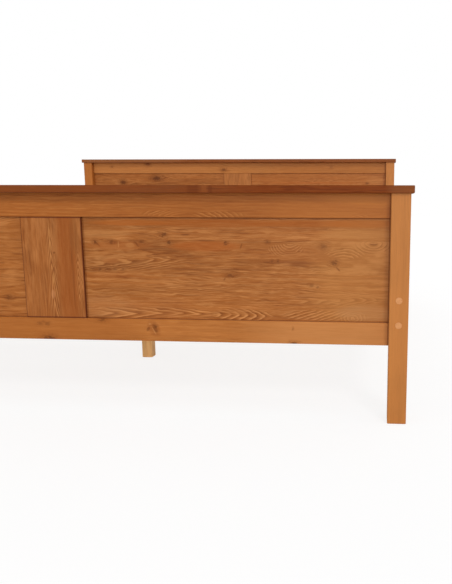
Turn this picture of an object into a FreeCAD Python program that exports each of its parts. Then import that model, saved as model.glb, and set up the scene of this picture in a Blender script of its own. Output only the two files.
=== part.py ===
import FreeCAD, Part

# Panel bed for a 1600 x 2000 mm mattress, built as loose pieces that a joiner would recognise:
# two framed and panelled ends with cap boards, side rails with slat ledges, a centre beam on two
# support legs, slats, and the bolts, cross nuts and plugs of the four corners.
#
# Frame: origin on the floor under the middle of the bed, +X to the right seen from the foot,
# +Y towards the head, +Z up. All lengths are millimetres.

import os
from collections import namedtuple

import Sketcher
from FreeCAD import Vector

# ---------------------------------------------------------------------------------------------
# Driving dimensions: name, value, what it measures
# ---------------------------------------------------------------------------------------------

SIZES = (
    ("bed_width", 1676, "over the outer faces of the posts"),
    ("clear_length", 2010, "between the foot posts and the head posts"),
    ("foot_height", 546, "floor to the top of the foot cap"),
    ("head_height", 744, "floor to the top of the head cap"),
    ("post_width", 44, "post, across the bed"),
    ("post_depth", 68, "post, along the bed"),
    ("post_ease", 1.5, "chamfer on the edges of posts and legs"),
    ("cap_thickness", 17, "cap board"),
    ("cap_end_overhang", 7, "cap board past the post's outer face"),
    ("cap_face_overhang", 8, "cap board past the post's front and back"),
    ("cap_ease", 1.5, "chamfer on the edges of the cap board"),
    ("cap_tenon_height", 7, "stub of a post and tongue of a top rail, inside the cap"),
    ("cap_tenon_width", 20, "stub on a post, across the bed"),
    ("cap_tenon_depth", 40, "stub on a post, along the bed"),
    ("cap_tenon_shift", 7, "stub's middle past the post's middle, outwards"),
    ("frame_thickness", 22, "rails and muntin of a bed end"),
    ("top_rail_height", 55, "top rail"),
    ("bottom_rail_height", 53, "bottom rail"),
    ("rail_underside", 182, "floor to bottom rails and side rails"),
    ("muntin_width", 147, "upright between the two panels"),
    ("board_ease", 1, "chamfer on the long edges of boards"),
    ("panel_thickness", 8, "panels, and the tenons and tongues in line with them"),
    ("groove_depth", 10, "groove that holds a panel"),
    ("panel_play", 2, "room for a panel to swell in its groove"),
    ("tenon_length", 16, "rail tenon in its post"),
    ("tenon_shoulder", 12, "edge of a rail left beside its tenon"),
    ("tenon_end_gap", 1, "room at the end of a tenon or tongue"),
    ("joint_clearance", 0.1, "round a tenon or plug, each side"),
    ("side_rail_height", 160, "side rail"),
    ("side_rail_thickness", 24, "side rail"),
    ("side_tenon_thickness", 12, "stub tenon on a side rail's end"),
    ("side_tenon_height", 36, "stub tenon on a side rail's end, between the bolts"),
    ("side_tenon_length", 8, "stub tenon on a side rail's end"),
    ("bolt_spacing", 57, "between the two bolts of a corner"),
    ("bolt_diameter", 8, "bed bolt"),
    ("bolt_length", 90, "bed bolt under its head"),
    ("bolt_head_diameter", 14, "flat head of a bed bolt"),
    ("bolt_head_height", 5, "flat head of a bed bolt"),
    ("socket_flats", 5, "hexagon socket in the bolt head"),
    ("socket_depth", 3, "hexagon socket in the bolt head"),
    ("bolt_clearance", 0.3, "round a bolt or cross nut, each side"),
    ("bolt_end_gap", 1, "bored past the tip of a bed bolt"),
    ("cross_nut_diameter", 12, "cross nut in the side rail"),
    ("cross_nut_length", 16, "cross nut in the side rail"),
    ("cross_nut_setback", 33, "cross nut from the end of the side rail"),
    ("plug_diameter", 15, "wooden plug over a bolt head"),
    ("plug_length", 9, "plug inside the post"),
    ("plug_proud", 0.6, "plug outside the post's face"),
    ("plug_gap", 0.3, "between the plug and the bolt head"),
    ("ledge_width", 24, "slat ledge, across the bed"),
    ("ledge_height", 30, "slat ledge"),
    ("ledge_end_gap", 60, "post to the end of a ledge"),
    ("slat_count", 14, "number of slats"),
    ("slat_width", 70, "slat, along the bed"),
    ("slat_thickness", 18, "slat"),
    ("slat_end_gap", 4, "slat to the side rail"),
    ("beam_width", 50, "centre beam"),
    ("beam_height", 50, "centre beam"),
    ("beam_end_gap", 1, "beam end to the hanger's plate"),
    ("hanger_gauge", 2, "steel of the beam hangers"),
    ("hanger_seat", 40, "hanger under the beam"),
    ("hanger_height", 46, "hanger"),
    ("hanger_ear", 20, "hanger plate past the shoe, each side"),
    ("hanger_clearance", 0.5, "beam to the hanger's cheeks, each side"),
    ("leg_width", 34, "support leg, square"),
    ("leg_inset", 570, "post's inner face to the middle of a support leg"),
    ("leg_tenon_width", 20, "stub tenon on a support leg, square"),
    ("leg_tenon_height", 18, "stub tenon on a support leg, inside the beam"),
)

# Places and fits that follow from the sizes above: name, formula, what it is
PLACES = (
    ("post_centre", "(Size.bed_width - Size.post_width) / 2", "X of the posts"),
    ("end_centre", "(Size.clear_length + Size.post_depth) / 2", "Y of the bed ends"),
    ("outer_face", "end_centre + Size.post_depth / 2", "Y of the posts' outer face"),
    ("foot_post_height", "Size.foot_height - Size.cap_thickness", "post under its cap"),
    ("head_post_height", "Size.head_height - Size.cap_thickness", "post under its cap"),
    ("cap_length", "Size.bed_width + 2 * Size.cap_end_overhang", "cap board"),
    ("cap_depth", "Size.post_depth + 2 * Size.cap_face_overhang", "cap board"),
    ("shoulder_length", "Size.bed_width - 2 * Size.post_width", "rails between the posts"),
    ("bottom_rail_top", "Size.rail_underside + Size.bottom_rail_height", "Z"),
    ("groove_bottom", "bottom_rail_top - Size.groove_depth", "Z of the panels' lower edge"),
    ("foot_top_rail_underside", "foot_post_height - Size.top_rail_height", "Z"),
    ("head_top_rail_underside", "head_post_height - Size.top_rail_height", "Z"),
    ("foot_opening", "foot_top_rail_underside - bottom_rail_top", "height between rails"),
    ("head_opening", "head_top_rail_underside - bottom_rail_top", "height between rails"),
    ("groove_width", "Size.panel_thickness + 2 * Size.joint_clearance", "grooves and mortises"),
    ("panel_opening", "(shoulder_length - Size.muntin_width) / 2", "width of one panel's opening"),
    ("panel_centre", "(Size.muntin_width + panel_opening) / 2", "X of the panels"),
    ("panel_tongue", "Size.groove_depth - Size.panel_play", "panel inside its side grooves"),
    ("panel_width", "panel_opening + 2 * panel_tongue", "panel with its tongues"),
    ("foot_panel_height", "foot_opening + Size.groove_depth + panel_tongue", "panel"),
    ("head_panel_height", "head_opening + Size.groove_depth + panel_tongue", "panel"),
    ("stub_length", "Size.groove_depth - Size.tenon_end_gap", "muntin tongue, rail haunch"),
    ("mortise_depth", "Size.tenon_length + Size.tenon_end_gap", "mortise in a post"),
    ("top_tenon", "Size.top_rail_height - Size.groove_depth - Size.tenon_shoulder", "its height"),
    ("bottom_tenon", "Size.bottom_rail_height - Size.groove_depth - Size.tenon_shoulder", "height"),
    ("cap_mortise_width", "Size.cap_tenon_width + 2 * Size.joint_clearance", "in the cap"),
    ("cap_mortise_length", "Size.cap_tenon_depth + 2 * Size.joint_clearance", "in the cap"),
    ("cap_mortise_depth", "Size.cap_tenon_height + Size.tenon_end_gap", "in the cap"),
    ("cap_groove_length", "shoulder_length + 2 * Size.tenon_end_gap", "groove over the top rail"),
    ("side_rail_middle", "Size.rail_underside + Size.side_rail_height / 2", "Z"),
    ("side_mortise_width", "Size.side_tenon_thickness + 2 * Size.joint_clearance", "in a post"),
    ("side_mortise_height", "Size.side_tenon_height + 2 * Size.joint_clearance", "in a post"),
    ("side_mortise_depth", "Size.side_tenon_length + Size.tenon_end_gap", "in a post"),
    ("upper_bolt", "side_rail_middle + Size.bolt_spacing / 2", "Z"),
    ("lower_bolt", "side_rail_middle - Size.bolt_spacing / 2", "Z"),
    ("bolt_hole", "Size.bolt_diameter + 2 * Size.bolt_clearance", "bore"),
    ("plug_hole", "Size.plug_diameter + 2 * Size.joint_clearance", "counterbore"),
    ("counterbore_depth", "Size.plug_length + Size.plug_gap + Size.bolt_head_height", "depth"),
    ("bolt_seat", "outer_face - counterbore_depth", "Y under the bolt head"),
    ("plug_inner", "outer_face - Size.plug_length", "Y of the plug's inner end"),
    ("nut_hole", "Size.cross_nut_diameter + 2 * Size.bolt_clearance", "bore"),
    ("nut_depth", "(Size.side_rail_thickness + Size.cross_nut_length) / 2", "bore"),
    ("nut_place", "Size.clear_length / 2 - Size.cross_nut_setback", "Y of the cross nuts"),
    ("bolt_reach", "Size.bolt_length - bolt_seat + Size.clear_length / 2", "past the rail's end"),
    ("nut_bore_depth", "bolt_reach + Size.bolt_end_gap", "from the rail's end"),
    ("rail_inner", "post_centre - Size.side_rail_thickness / 2", "X of the side rail's inner face"),
    ("ledge_centre", "rail_inner - Size.ledge_width / 2", "X of the ledges"),
    ("ledge_length", "Size.clear_length - 2 * Size.ledge_end_gap", "ledge"),
    ("slat_seat", "bottom_rail_top", "Z of the top of ledges and beam"),
    ("ledge_underside", "slat_seat - Size.ledge_height", "Z"),
    ("slat_length", "2 * (rail_inner - Size.slat_end_gap)", "slat"),
    ("slat_run", "ledge_length - Size.slat_width", "first slat to last, centres"),
    ("slat_pitch", "slat_run / (Size.slat_count - 1)", "between slats, centres"),
    ("first_slat", "-slat_run / 2", "Y"),
    ("frame_inner", "end_centre - Size.frame_thickness / 2", "Y of the bottom rails' inner face"),
    ("hanger_face", "frame_inner - Size.hanger_gauge", "Y of the hanger plate's face"),
    ("beam_length", "2 * (hanger_face - Size.beam_end_gap)", "centre beam"),
    ("beam_underside", "slat_seat - Size.beam_height", "Z"),
    ("hanger_floor", "beam_underside - Size.hanger_gauge", "Z"),
    ("hanger_bay", "Size.beam_width + 2 * Size.hanger_clearance", "inside the hanger's cheeks"),
    ("hanger_shoe", "hanger_bay + 2 * Size.hanger_gauge", "over the hanger's cheeks"),
    ("hanger_plate", "hanger_shoe + 2 * Size.hanger_ear", "width of the hanger's plate"),
    ("leg_place", "Size.clear_length / 2 - Size.leg_inset", "Y of the support legs"),
    ("leg_mortise_width", "Size.leg_tenon_width + 2 * Size.joint_clearance", "in the beam"),
    ("leg_mortise_depth", "Size.leg_tenon_height + Size.tenon_end_gap", "in the beam"),
)

End = namedtuple("End", "name outward")
Side = namedtuple("Side", "name outward")
ENDS = (End("foot", -1), End("head", 1))
SIDES = (Side("left", -1), Side("right", 1))

ALONG_X = Vector(1, 0, 0)
ALONG_Y = Vector(0, 1, 0)
ALONG_Z = Vector(0, 0, 1)
TOLERANCE = 1e-4

doc = FreeCAD.newDocument("panel_bed")
size_sheet = doc.addObject("Spreadsheet::Sheet", "Size")
place_sheet = doc.addObject("Spreadsheet::Sheet", "Place")
sub_parts = []
solid_counts = {}


def fill_sheet(sheet, rows, lead=""):
    """Write one row for each value: its name, the value or formula, and its meaning."""
    for row, (name, value, meaning) in enumerate(rows, 1):
        sheet.set(f"A{row}", name)
        sheet.set(f"B{row}", f"{lead}{value}")
        sheet.set(f"C{row}", meaning)
        sheet.setAlias(f"B{row}", name)


fill_sheet(size_sheet, SIZES)
doc.recompute()
fill_sheet(place_sheet, PLACES, "=")
doc.recompute()


def value(formula):
    """The present value of a formula on the two sheets."""
    return float(place_sheet.evalExpression(formula))


# ---------------------------------------------------------------------------------------------
# Building blocks
# ---------------------------------------------------------------------------------------------


def new_body(name, across="0", along="0", up="0", solids=1):
    """A sub-part whose own origin lies at the given place in the bed."""
    body = doc.addObject("PartDesign::Body", name)
    body.Label = name
    body.setExpression("Placement.Base.x", across)
    body.setExpression("Placement.Base.y", along)
    body.setExpression("Placement.Base.z", up)
    sub_parts.append(body)
    solid_counts[name] = solids
    return body


def origin_part(body, role):
    """One of a body's own origin planes or axes."""
    return next(item for item in body.Origin.OriginFeatures if item.Role == role)


def sketch_on(body, role, lift="0"):
    """An empty sketch on an origin plane, lifted along the plane's normal."""
    sketch = body.newObject("Sketcher::SketchObject", "Sketch")
    sketch.AttachmentSupport = (origin_part(body, role), [""])
    sketch.MapMode = "FlatFace"
    sketch.setExpression("AttachmentOffset.Base.z", lift)
    return sketch


def bind(sketch, kind, references, formula):
    """A dimension in a sketch that follows a formula."""
    number = sketch.addConstraint(Sketcher.Constraint(kind, *references, value(formula)))
    sketch.setExpression(f"Constraints[{number}]", formula)


def closed_lines(sketch, corners):
    """Straight lines from corner to corner and back to the first, joined at their ends."""
    count = len(corners)
    lines = []
    for number, corner in enumerate(corners):
        following = corners[(number + 1) % count]
        lines.append(sketch.addGeometry(Part.LineSegment(corner, following)))
    for number, line in enumerate(lines):
        following = lines[(number + 1) % count]
        sketch.addConstraint(Sketcher.Constraint("Coincident", line, 2, following, 1))
    return lines


def rectangle(sketch, width, height, across="0", up="0"):
    """A rectangle of a width and height round a centre."""
    half_x = value(width) / 2
    half_y = value(height) / 2
    middle = Vector(value(across), value(up), 0)
    corners = [
        middle + Vector(-half_x, -half_y, 0),
        middle + Vector(half_x, -half_y, 0),
        middle + Vector(half_x, half_y, 0),
        middle + Vector(-half_x, half_y, 0),
    ]
    lower, right, upper, left = closed_lines(sketch, corners)
    centre = sketch.addGeometry(Part.Point(middle), True)
    for line in (lower, upper):
        sketch.addConstraint(Sketcher.Constraint("Horizontal", line))
    for line in (left, right):
        sketch.addConstraint(Sketcher.Constraint("Vertical", line))
    sketch.addConstraint(Sketcher.Constraint("Symmetric", lower, 1, upper, 1, centre, 1))
    bind(sketch, "DistanceX", (lower, 1, lower, 2), width)
    bind(sketch, "DistanceY", (right, 1, right, 2), height)
    bind(sketch, "DistanceX", (-1, 1, centre, 1), across)
    bind(sketch, "DistanceY", (-1, 1, centre, 1), up)


def circle(sketch, diameter, across="0", up="0"):
    """A circle of a diameter round a centre."""
    middle = Vector(value(across), value(up), 0)
    ring = sketch.addGeometry(Part.Circle(middle, ALONG_Z, value(diameter) / 2))
    bind(sketch, "Diameter", (ring,), diameter)
    bind(sketch, "DistanceX", (-1, 1, ring, 3), across)
    bind(sketch, "DistanceY", (-1, 1, ring, 3), up)


def hexagon(sketch, flats, across="0", up="0"):
    """A regular hexagon with one flat below, given across its flats."""
    middle = Vector(value(across), value(up), 0)
    radius = value(flats) / 3 ** 0.5
    turns = [FreeCAD.Rotation(ALONG_Z, 60 * step) for step in range(6)]
    lines = closed_lines(sketch, [middle + turn.multVec(Vector(radius, 0, 0)) for turn in turns])
    rim = sketch.addGeometry(Part.Circle(middle, ALONG_Z, radius), True)
    for line in lines:
        sketch.addConstraint(Sketcher.Constraint("PointOnObject", line, 1, rim))
    for line in lines[1:]:
        sketch.addConstraint(Sketcher.Constraint("Equal", lines[0], line))
    sketch.addConstraint(Sketcher.Constraint("Horizontal", lines[1]))
    bind(sketch, "Radius", (rim,), f"({flats}) / sqrt(3)")
    bind(sketch, "DistanceX", (-1, 1, rim, 3), across)
    bind(sketch, "DistanceY", (-1, 1, rim, 3), up)


def swept(body, kind, sketch, length, both_ways, backwards):
    """A pad or pocket of a sketch, straight along its normal."""
    feature = body.newObject(f"PartDesign::{kind}", kind)
    feature.Profile = sketch
    feature.setExpression("Length", length)
    feature.SideType = "Symmetric" if both_ways else "One side"
    feature.Reversed = backwards
    body.Tip = feature
    return feature


def pad(body, sketch, length, both_ways=False, backwards=False):
    """Material along the sketch's normal, or against it when backwards."""
    return swept(body, "Pad", sketch, length, both_ways, backwards)


def pocket(body, sketch, depth, both_ways=False, backwards=False):
    """A cut against the sketch's normal, or along it when backwards."""
    return swept(body, "Pocket", sketch, depth, both_ways, backwards)


def counterbored_hole(body, sketch, diameter, wide, deep, backwards=False):
    """A through hole at each circle of a sketch, with a wider mouth of a diameter and depth."""
    doc.recompute()
    feature = body.newObject("PartDesign::Hole", "Hole")
    feature.Profile = sketch
    feature.ThreadType = "None"
    feature.DepthType = "ThroughAll"
    feature.Reversed = backwards
    feature.HoleCutType = "Counterbore"
    feature.HoleCutCustomValues = True
    feature.setExpression("Diameter", diameter)
    feature.setExpression("HoleCutDiameter", wide)
    feature.setExpression("HoleCutDepth", deep)
    body.Tip = feature


def edges_of(feature, direction=None, height=None):
    """Names of a feature's edges, only those along a direction or at a height where given."""
    names = []
    for number, edge in enumerate(feature.Shape.Edges, 1):
        slope = edge.tangentAt(edge.FirstParameter)
        if direction is not None and slope.cross(direction).Length > TOLERANCE:
            continue
        if height is None or abs(edge.CenterOfMass.z - height) < TOLERANCE:
            names.append(f"Edge{number}")
    return names


def eased(body, feature, names, width):
    """A chamfer on named edges of a feature."""
    chamfer = body.newObject("PartDesign::Chamfer", "Chamfer")
    chamfer.Base = (feature, names)
    chamfer.setExpression("Size", width)
    body.Tip = chamfer
    doc.recompute()
    return chamfer


def mirrored(body, plane, originals):
    """A mirror image of some features of a body."""
    doc.recompute()
    mirror = body.newObject("PartDesign::Mirrored", "Mirrored")
    mirror.MirrorPlane = (origin_part(body, plane), [""])
    mirror.Originals = originals
    body.Tip = mirror


def board(body, plane, width, height, length, up="0", backwards=False, both_ways=True):
    """A plain length of timber: a rectangular section on one plane, drawn out along its normal."""
    section = sketch_on(body, plane)
    rectangle(section, width, height, "0", up)
    blank = pad(body, section, length, both_ways, backwards)
    doc.recompute()
    return blank


# ---------------------------------------------------------------------------------------------
# Framed and panelled bed ends
# ---------------------------------------------------------------------------------------------


def make_post(end, side):
    """A corner post: grooved for the panel, mortised for its rails, with a stub for the cap."""
    post_height = f"Place.{end.name}_post_height"
    body = new_body(
        f"{end.name}_post_{side.name}",
        f"{side.outward} * Place.post_centre",
        f"{end.outward} * Place.end_centre",
    )
    blank = board(body, "XY_Plane", "Size.post_width", "Size.post_depth", post_height, both_ways=False)
    eased(body, blank, edges_of(blank, ALONG_Z) + edges_of(blank, height=0), "Size.post_ease")

    stub = sketch_on(body, "XY_Plane", post_height)
    across = f"{side.outward} * Size.cap_tenon_shift"
    rectangle(stub, "Size.cap_tenon_width", "Size.cap_tenon_depth", across)
    pad(body, stub, "Size.cap_tenon_height")

    groove = sketch_on(body, "XZ_Plane")
    rectangle(
        groove,
        "Size.groove_depth",
        f"{post_height} - Place.groove_bottom",
        f"{-side.outward} * (Size.post_width - Size.groove_depth) / 2",
        f"({post_height} + Place.groove_bottom) / 2",
    )
    pocket(body, groove, "Place.groove_width", both_ways=True)

    mortises = sketch_on(body, "XZ_Plane")
    mortise_across = f"{-side.outward} * (Size.post_width - Place.mortise_depth) / 2"
    for tenon, middle in (
        ("Place.top_tenon", f"{post_height} - Size.tenon_shoulder - Place.top_tenon / 2"),
        ("Place.bottom_tenon", "Place.groove_bottom - Place.bottom_tenon / 2"),
    ):
        tall = f"{tenon} + 2 * Size.joint_clearance"
        rectangle(mortises, "Place.mortise_depth", tall, mortise_across, middle)
    pocket(body, mortises, "Place.groove_width", both_ways=True)

    bolts = sketch_on(body, "XZ_Plane", f"{-end.outward} * Size.post_depth / 2")
    for level in ("Place.upper_bolt", "Place.lower_bolt"):
        circle(bolts, "Place.bolt_hole", "0", level)
    counterbored_hole(
        body,
        bolts,
        "Place.bolt_hole",
        "Place.plug_hole",
        "Place.counterbore_depth",
        backwards=end.outward > 0,
    )

    mortise = sketch_on(body, "XZ_Plane", f"{end.outward} * Size.post_depth / 2")
    rectangle(
        mortise, "Place.side_mortise_width", "Place.side_mortise_height", "0", "Place.side_rail_middle"
    )
    pocket(body, mortise, "Place.side_mortise_depth", backwards=end.outward < 0)


def cut_groove(body, up):
    """A groove along the whole of a rail, its centre at a height of the section."""
    section = sketch_on(body, "YZ_Plane")
    rectangle(section, "Place.groove_width", "Size.groove_depth", "0", up)
    pocket(body, section, "Place.shoulder_length", both_ways=True)


def add_tenons(body, reach, height, up):
    """A tenon at each end of a rail, made as one tongue that runs through it."""
    tongue = sketch_on(body, "XZ_Plane")
    rectangle(tongue, f"Place.shoulder_length + 2 * {reach}", height, "0", up)
    pad(body, tongue, "Size.panel_thickness", both_ways=True)


def make_top_rail(end):
    """The rail under the cap: groove below, haunched tenons, a tongue above."""
    body = new_body(
        f"{end.name}_top_rail",
        "0",
        f"{end.outward} * Place.end_centre",
        f"Place.{end.name}_top_rail_underside",
    )
    height = "Size.top_rail_height"
    blank = board(
        body, "YZ_Plane", "Size.frame_thickness", height, "Place.shoulder_length", f"{height} / 2"
    )
    eased(body, blank, edges_of(blank, ALONG_X, height=0), "Size.board_ease")
    cut_groove(body, "Size.groove_depth / 2")
    add_tenons(body, "Size.tenon_length", "Place.top_tenon", "Size.groove_depth + Place.top_tenon / 2")
    add_tenons(body, "Place.stub_length", "Size.tenon_shoulder", f"{height} - Size.tenon_shoulder / 2")
    tongue = sketch_on(body, "XY_Plane", height)
    rectangle(tongue, "Place.shoulder_length", "Size.panel_thickness")
    pad(body, tongue, "Size.cap_tenon_height")


def make_bottom_rail(end):
    """The rail under the panels: groove above, a tenon at each end."""
    body = new_body(
        f"{end.name}_bottom_rail", "0", f"{end.outward} * Place.end_centre", "Size.rail_underside"
    )
    height = "Size.bottom_rail_height"
    blank = board(
        body, "YZ_Plane", "Size.frame_thickness", height, "Place.shoulder_length", f"{height} / 2"
    )
    eased(body, blank, edges_of(blank, ALONG_X), "Size.board_ease")
    cut_groove(body, f"{height} - Size.groove_depth / 2")
    middle = "Size.tenon_shoulder + Place.bottom_tenon / 2"
    add_tenons(body, "Size.tenon_length", "Place.bottom_tenon", middle)


def make_muntin(end):
    """The upright between the panels: grooved on both edges, a stub tongue at each end."""
    opening = f"Place.{end.name}_opening"
    body = new_body(
        f"{end.name}_muntin", "0", f"{end.outward} * Place.end_centre", "Place.bottom_rail_top"
    )
    blank = board(
        body, "XY_Plane", "Size.muntin_width", "Size.frame_thickness", opening, both_ways=False
    )
    eased(body, blank, edges_of(blank, ALONG_Z), "Size.board_ease")
    grooves = sketch_on(body, "XY_Plane")
    for edge in (-1, 1):
        middle = f"{edge} * (Size.muntin_width - Size.groove_depth) / 2"
        rectangle(grooves, "Size.groove_depth", "Place.groove_width", middle)
    pocket(body, grooves, opening, backwards=True)
    tongue = sketch_on(body, "XZ_Plane")
    rectangle(
        tongue,
        "Size.muntin_width - 2 * Size.groove_depth",
        f"{opening} + 2 * Place.stub_length",
        "0",
        f"{opening} / 2",
    )
    pad(body, tongue, "Size.panel_thickness", both_ways=True)


def make_panel(end, side):
    """A panel that stands on the floor of the bottom rail's groove, with room at its sides."""
    body = new_body(
        f"{end.name}_panel_{side.name}",
        f"{side.outward} * Place.panel_centre",
        f"{end.outward} * Place.end_centre",
        "Place.groove_bottom",
    )
    height = f"Place.{end.name}_panel_height"
    board(body, "XZ_Plane", "Place.panel_width", height, "Size.panel_thickness", f"{height} / 2")


def make_cap(end):
    """The cap board, eased on every edge, mortised for the posts and grooved for the top rail."""
    body = new_body(
        f"{end.name}_cap",
        "0",
        f"{end.outward} * Place.end_centre",
        f"Place.{end.name}_post_height",
    )
    blank = board(
        body, "XY_Plane", "Place.cap_length", "Place.cap_depth", "Size.cap_thickness", both_ways=False
    )
    eased(body, blank, edges_of(blank), "Size.cap_ease")
    seats = sketch_on(body, "XY_Plane")
    rectangle(seats, "Place.cap_groove_length", "Place.groove_width")
    for side in SIDES:
        across = f"{side.outward} * (Place.post_centre + Size.cap_tenon_shift)"
        rectangle(seats, "Place.cap_mortise_width", "Place.cap_mortise_length", across)
    pocket(body, seats, "Place.cap_mortise_depth", backwards=True)


# ---------------------------------------------------------------------------------------------
# Side rails and their corner fixings
# ---------------------------------------------------------------------------------------------


def make_side_rail(side):
    """A side rail: a stub tenon at each end, bored for bolts and for their cross nuts."""
    body = new_body(
        f"side_rail_{side.name}", f"{side.outward} * Place.post_centre", "0", "Size.rail_underside"
    )
    height = "Size.side_rail_height"
    blank = board(
        body, "XZ_Plane", "Size.side_rail_thickness", height, "Size.clear_length", f"{height} / 2"
    )
    eased(body, blank, edges_of(blank, ALONG_Y), "Size.board_ease")
    stubs = sketch_on(body, "XZ_Plane")
    rectangle(stubs, "Size.side_tenon_thickness", "Size.side_tenon_height", "0", f"{height} / 2")
    pad(body, stubs, "Size.clear_length + 2 * Size.side_tenon_length", both_ways=True)

    bolts = sketch_on(body, "XZ_Plane", "Size.clear_length / 2")
    nuts = sketch_on(body, "YZ_Plane", f"{-side.outward} * Size.side_rail_thickness / 2")
    for step in (-1, 1):
        level = f"({height} + {step} * Size.bolt_spacing) / 2"
        circle(bolts, "Place.bolt_hole", "0", level)
        circle(nuts, "Place.nut_hole", "-Place.nut_place", level)
    bores = [
        pocket(body, bolts, "Size.cross_nut_setback"),
        pocket(body, nuts, "Place.nut_depth", backwards=side.outward > 0),
    ]
    mirrored(body, "XZ_Plane", bores)


def corner_places():
    """X and Z of the four bolts of a bed end."""
    levels = ("Place.upper_bolt", "Place.lower_bolt")
    return [(f"{side.outward} * Place.post_centre", level) for side in SIDES for level in levels]


def make_bed_bolts(end):
    """The four connector bolts of a bed end: flat round head with a hexagon socket."""
    places = corner_places()
    body = new_body(
        f"{end.name}_bed_bolts", "0", f"{end.outward} * Place.bolt_seat", "0", len(places)
    )
    heads = sketch_on(body, "XZ_Plane")
    shanks = sketch_on(body, "XZ_Plane")
    sockets = sketch_on(body, "XZ_Plane", f"{-end.outward} * Size.bolt_head_height")
    for across, level in places:
        circle(heads, "Size.bolt_head_diameter", across, level)
        circle(shanks, "Size.bolt_diameter", across, level)
        hexagon(sockets, "Size.socket_flats", across, level)
    pad(body, heads, "Size.bolt_head_height", backwards=end.outward > 0)
    pad(body, shanks, "Size.bolt_length", backwards=end.outward < 0)
    pocket(body, sockets, "Size.socket_depth", backwards=end.outward > 0)


def make_plugs(end):
    """The four wooden plugs over the bolt heads, a little proud of the post."""
    places = corner_places()
    body = new_body(
        f"{end.name}_bolt_plugs", "0", f"{end.outward} * Place.plug_inner", "0", len(places)
    )
    section = sketch_on(body, "XZ_Plane")
    for across, level in places:
        circle(section, "Size.plug_diameter", across, level)
    pad(body, section, "Size.plug_length + Size.plug_proud", backwards=end.outward > 0)


def make_barrel_nuts():
    """The eight cross nuts in the side rails, each with a blind bore for its bolt."""
    places = corner_places()
    body = new_body("side_rail_barrel_nuts", solids=2 * len(places))
    section = sketch_on(body, "YZ_Plane", "Place.post_centre")
    for direction in (-1, 1):
        for level in ("Place.upper_bolt", "Place.lower_bolt"):
            circle(section, "Size.cross_nut_diameter", f"{direction} * Place.nut_place", level)
    right_hand = pad(body, section, "Size.cross_nut_length", both_ways=True)
    mirrored(body, "YZ_Plane", [right_hand])
    bores = sketch_on(body, "XZ_Plane", "Size.clear_length / 2")
    for across, level in places:
        circle(bores, "Place.bolt_hole", across, level)
    foot_bores = pocket(body, bores, "Place.nut_bore_depth")
    mirrored(body, "XZ_Plane", [foot_bores])


# ---------------------------------------------------------------------------------------------
# Slatted base
# ---------------------------------------------------------------------------------------------


def make_ledge(side):
    """A slat ledge along the inner face of a side rail."""
    body = new_body(
        f"slat_ledge_{side.name}", f"{side.outward} * Place.ledge_centre", "0", "Place.ledge_underside"
    )
    height = "Size.ledge_height"
    blank = board(body, "XZ_Plane", "Size.ledge_width", height, "Place.ledge_length", f"{height} / 2")
    eased(body, blank, edges_of(blank, ALONG_Y), "Size.board_ease")


def make_slat(number):
    """One slat, across both ledges and the centre beam, eased where the mattress lies."""
    along = f"Place.first_slat + {number} * Place.slat_pitch"
    body = new_body(f"slat_{number + 1:02d}", "0", along, "Place.slat_seat")
    thickness = "Size.slat_thickness"
    blank = board(body, "XY_Plane", "Place.slat_length", "Size.slat_width", thickness, both_ways=False)
    eased(body, blank, edges_of(blank, ALONG_X, value(thickness)), "Size.board_ease")


def make_centre_beam():
    """The beam under the middle of the slats, mortised from below for the support legs."""
    body = new_body("centre_beam", "0", "0", "Place.beam_underside")
    height = "Size.beam_height"
    blank = board(body, "XZ_Plane", "Size.beam_width", height, "Place.beam_length", f"{height} / 2")
    eased(body, blank, edges_of(blank, ALONG_Y, height=0), "Size.board_ease")
    mortises = sketch_on(body, "XY_Plane")
    for end in ENDS:
        along = f"{end.outward} * Place.leg_place"
        rectangle(mortises, "Place.leg_mortise_width", "Place.leg_mortise_width", "0", along)
    pocket(body, mortises, "Place.leg_mortise_depth", backwards=True)


def make_support_leg(end):
    """A square leg from the floor to the beam, with a stub tenon on top."""
    body = new_body(f"{end.name}_support_leg", "0", f"{end.outward} * Place.leg_place")
    tall = "Place.beam_underside"
    blank = board(body, "XY_Plane", "Size.leg_width", "Size.leg_width", tall, both_ways=False)
    eased(body, blank, edges_of(blank, ALONG_Z) + edges_of(blank, height=0), "Size.post_ease")
    stub = sketch_on(body, "XY_Plane", tall)
    rectangle(stub, "Size.leg_tenon_width", "Size.leg_tenon_width")
    pad(body, stub, "Size.leg_tenon_height")


def make_hanger(end):
    """A folded steel hanger: a shoe under the beam's end and a plate with ears on the rail."""
    body = new_body(
        f"{end.name}_beam_hanger", "0", f"{end.outward} * Place.frame_inner", "Place.hanger_floor"
    )
    inwards = end.outward < 0
    tall = "Size.hanger_height"
    shoe_length = "Size.hanger_gauge + Size.hanger_seat"
    board(
        body, "XZ_Plane", "Place.hanger_shoe", tall, shoe_length, f"{tall} / 2", inwards, both_ways=False
    )
    bay = sketch_on(body, "XZ_Plane")
    bay_middle = f"({tall} + Size.hanger_gauge) / 2"
    rectangle(bay, "Place.hanger_bay", f"{tall} - Size.hanger_gauge", "0", bay_middle)
    pocket(body, bay, shoe_length, backwards=not inwards)
    plate = sketch_on(body, "XZ_Plane")
    rectangle(plate, "Place.hanger_plate", tall, "0", f"{tall} / 2")
    pad(body, plate, "Size.hanger_gauge", backwards=inwards)


# ---------------------------------------------------------------------------------------------
# The whole bed
# ---------------------------------------------------------------------------------------------

for bed_end in ENDS:
    make_cap(bed_end)
    make_top_rail(bed_end)
    make_bottom_rail(bed_end)
    make_muntin(bed_end)
    for hand in SIDES:
        make_post(bed_end, hand)
        make_panel(bed_end, hand)
    make_bed_bolts(bed_end)
    make_plugs(bed_end)
    make_hanger(bed_end)
    make_support_leg(bed_end)
for hand in SIDES:
    make_side_rail(hand)
    make_ledge(hand)
make_barrel_nuts()
make_centre_beam()
for slat in range(int(value("Size.slat_count"))):
    make_slat(slat)
doc.recompute()


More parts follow.
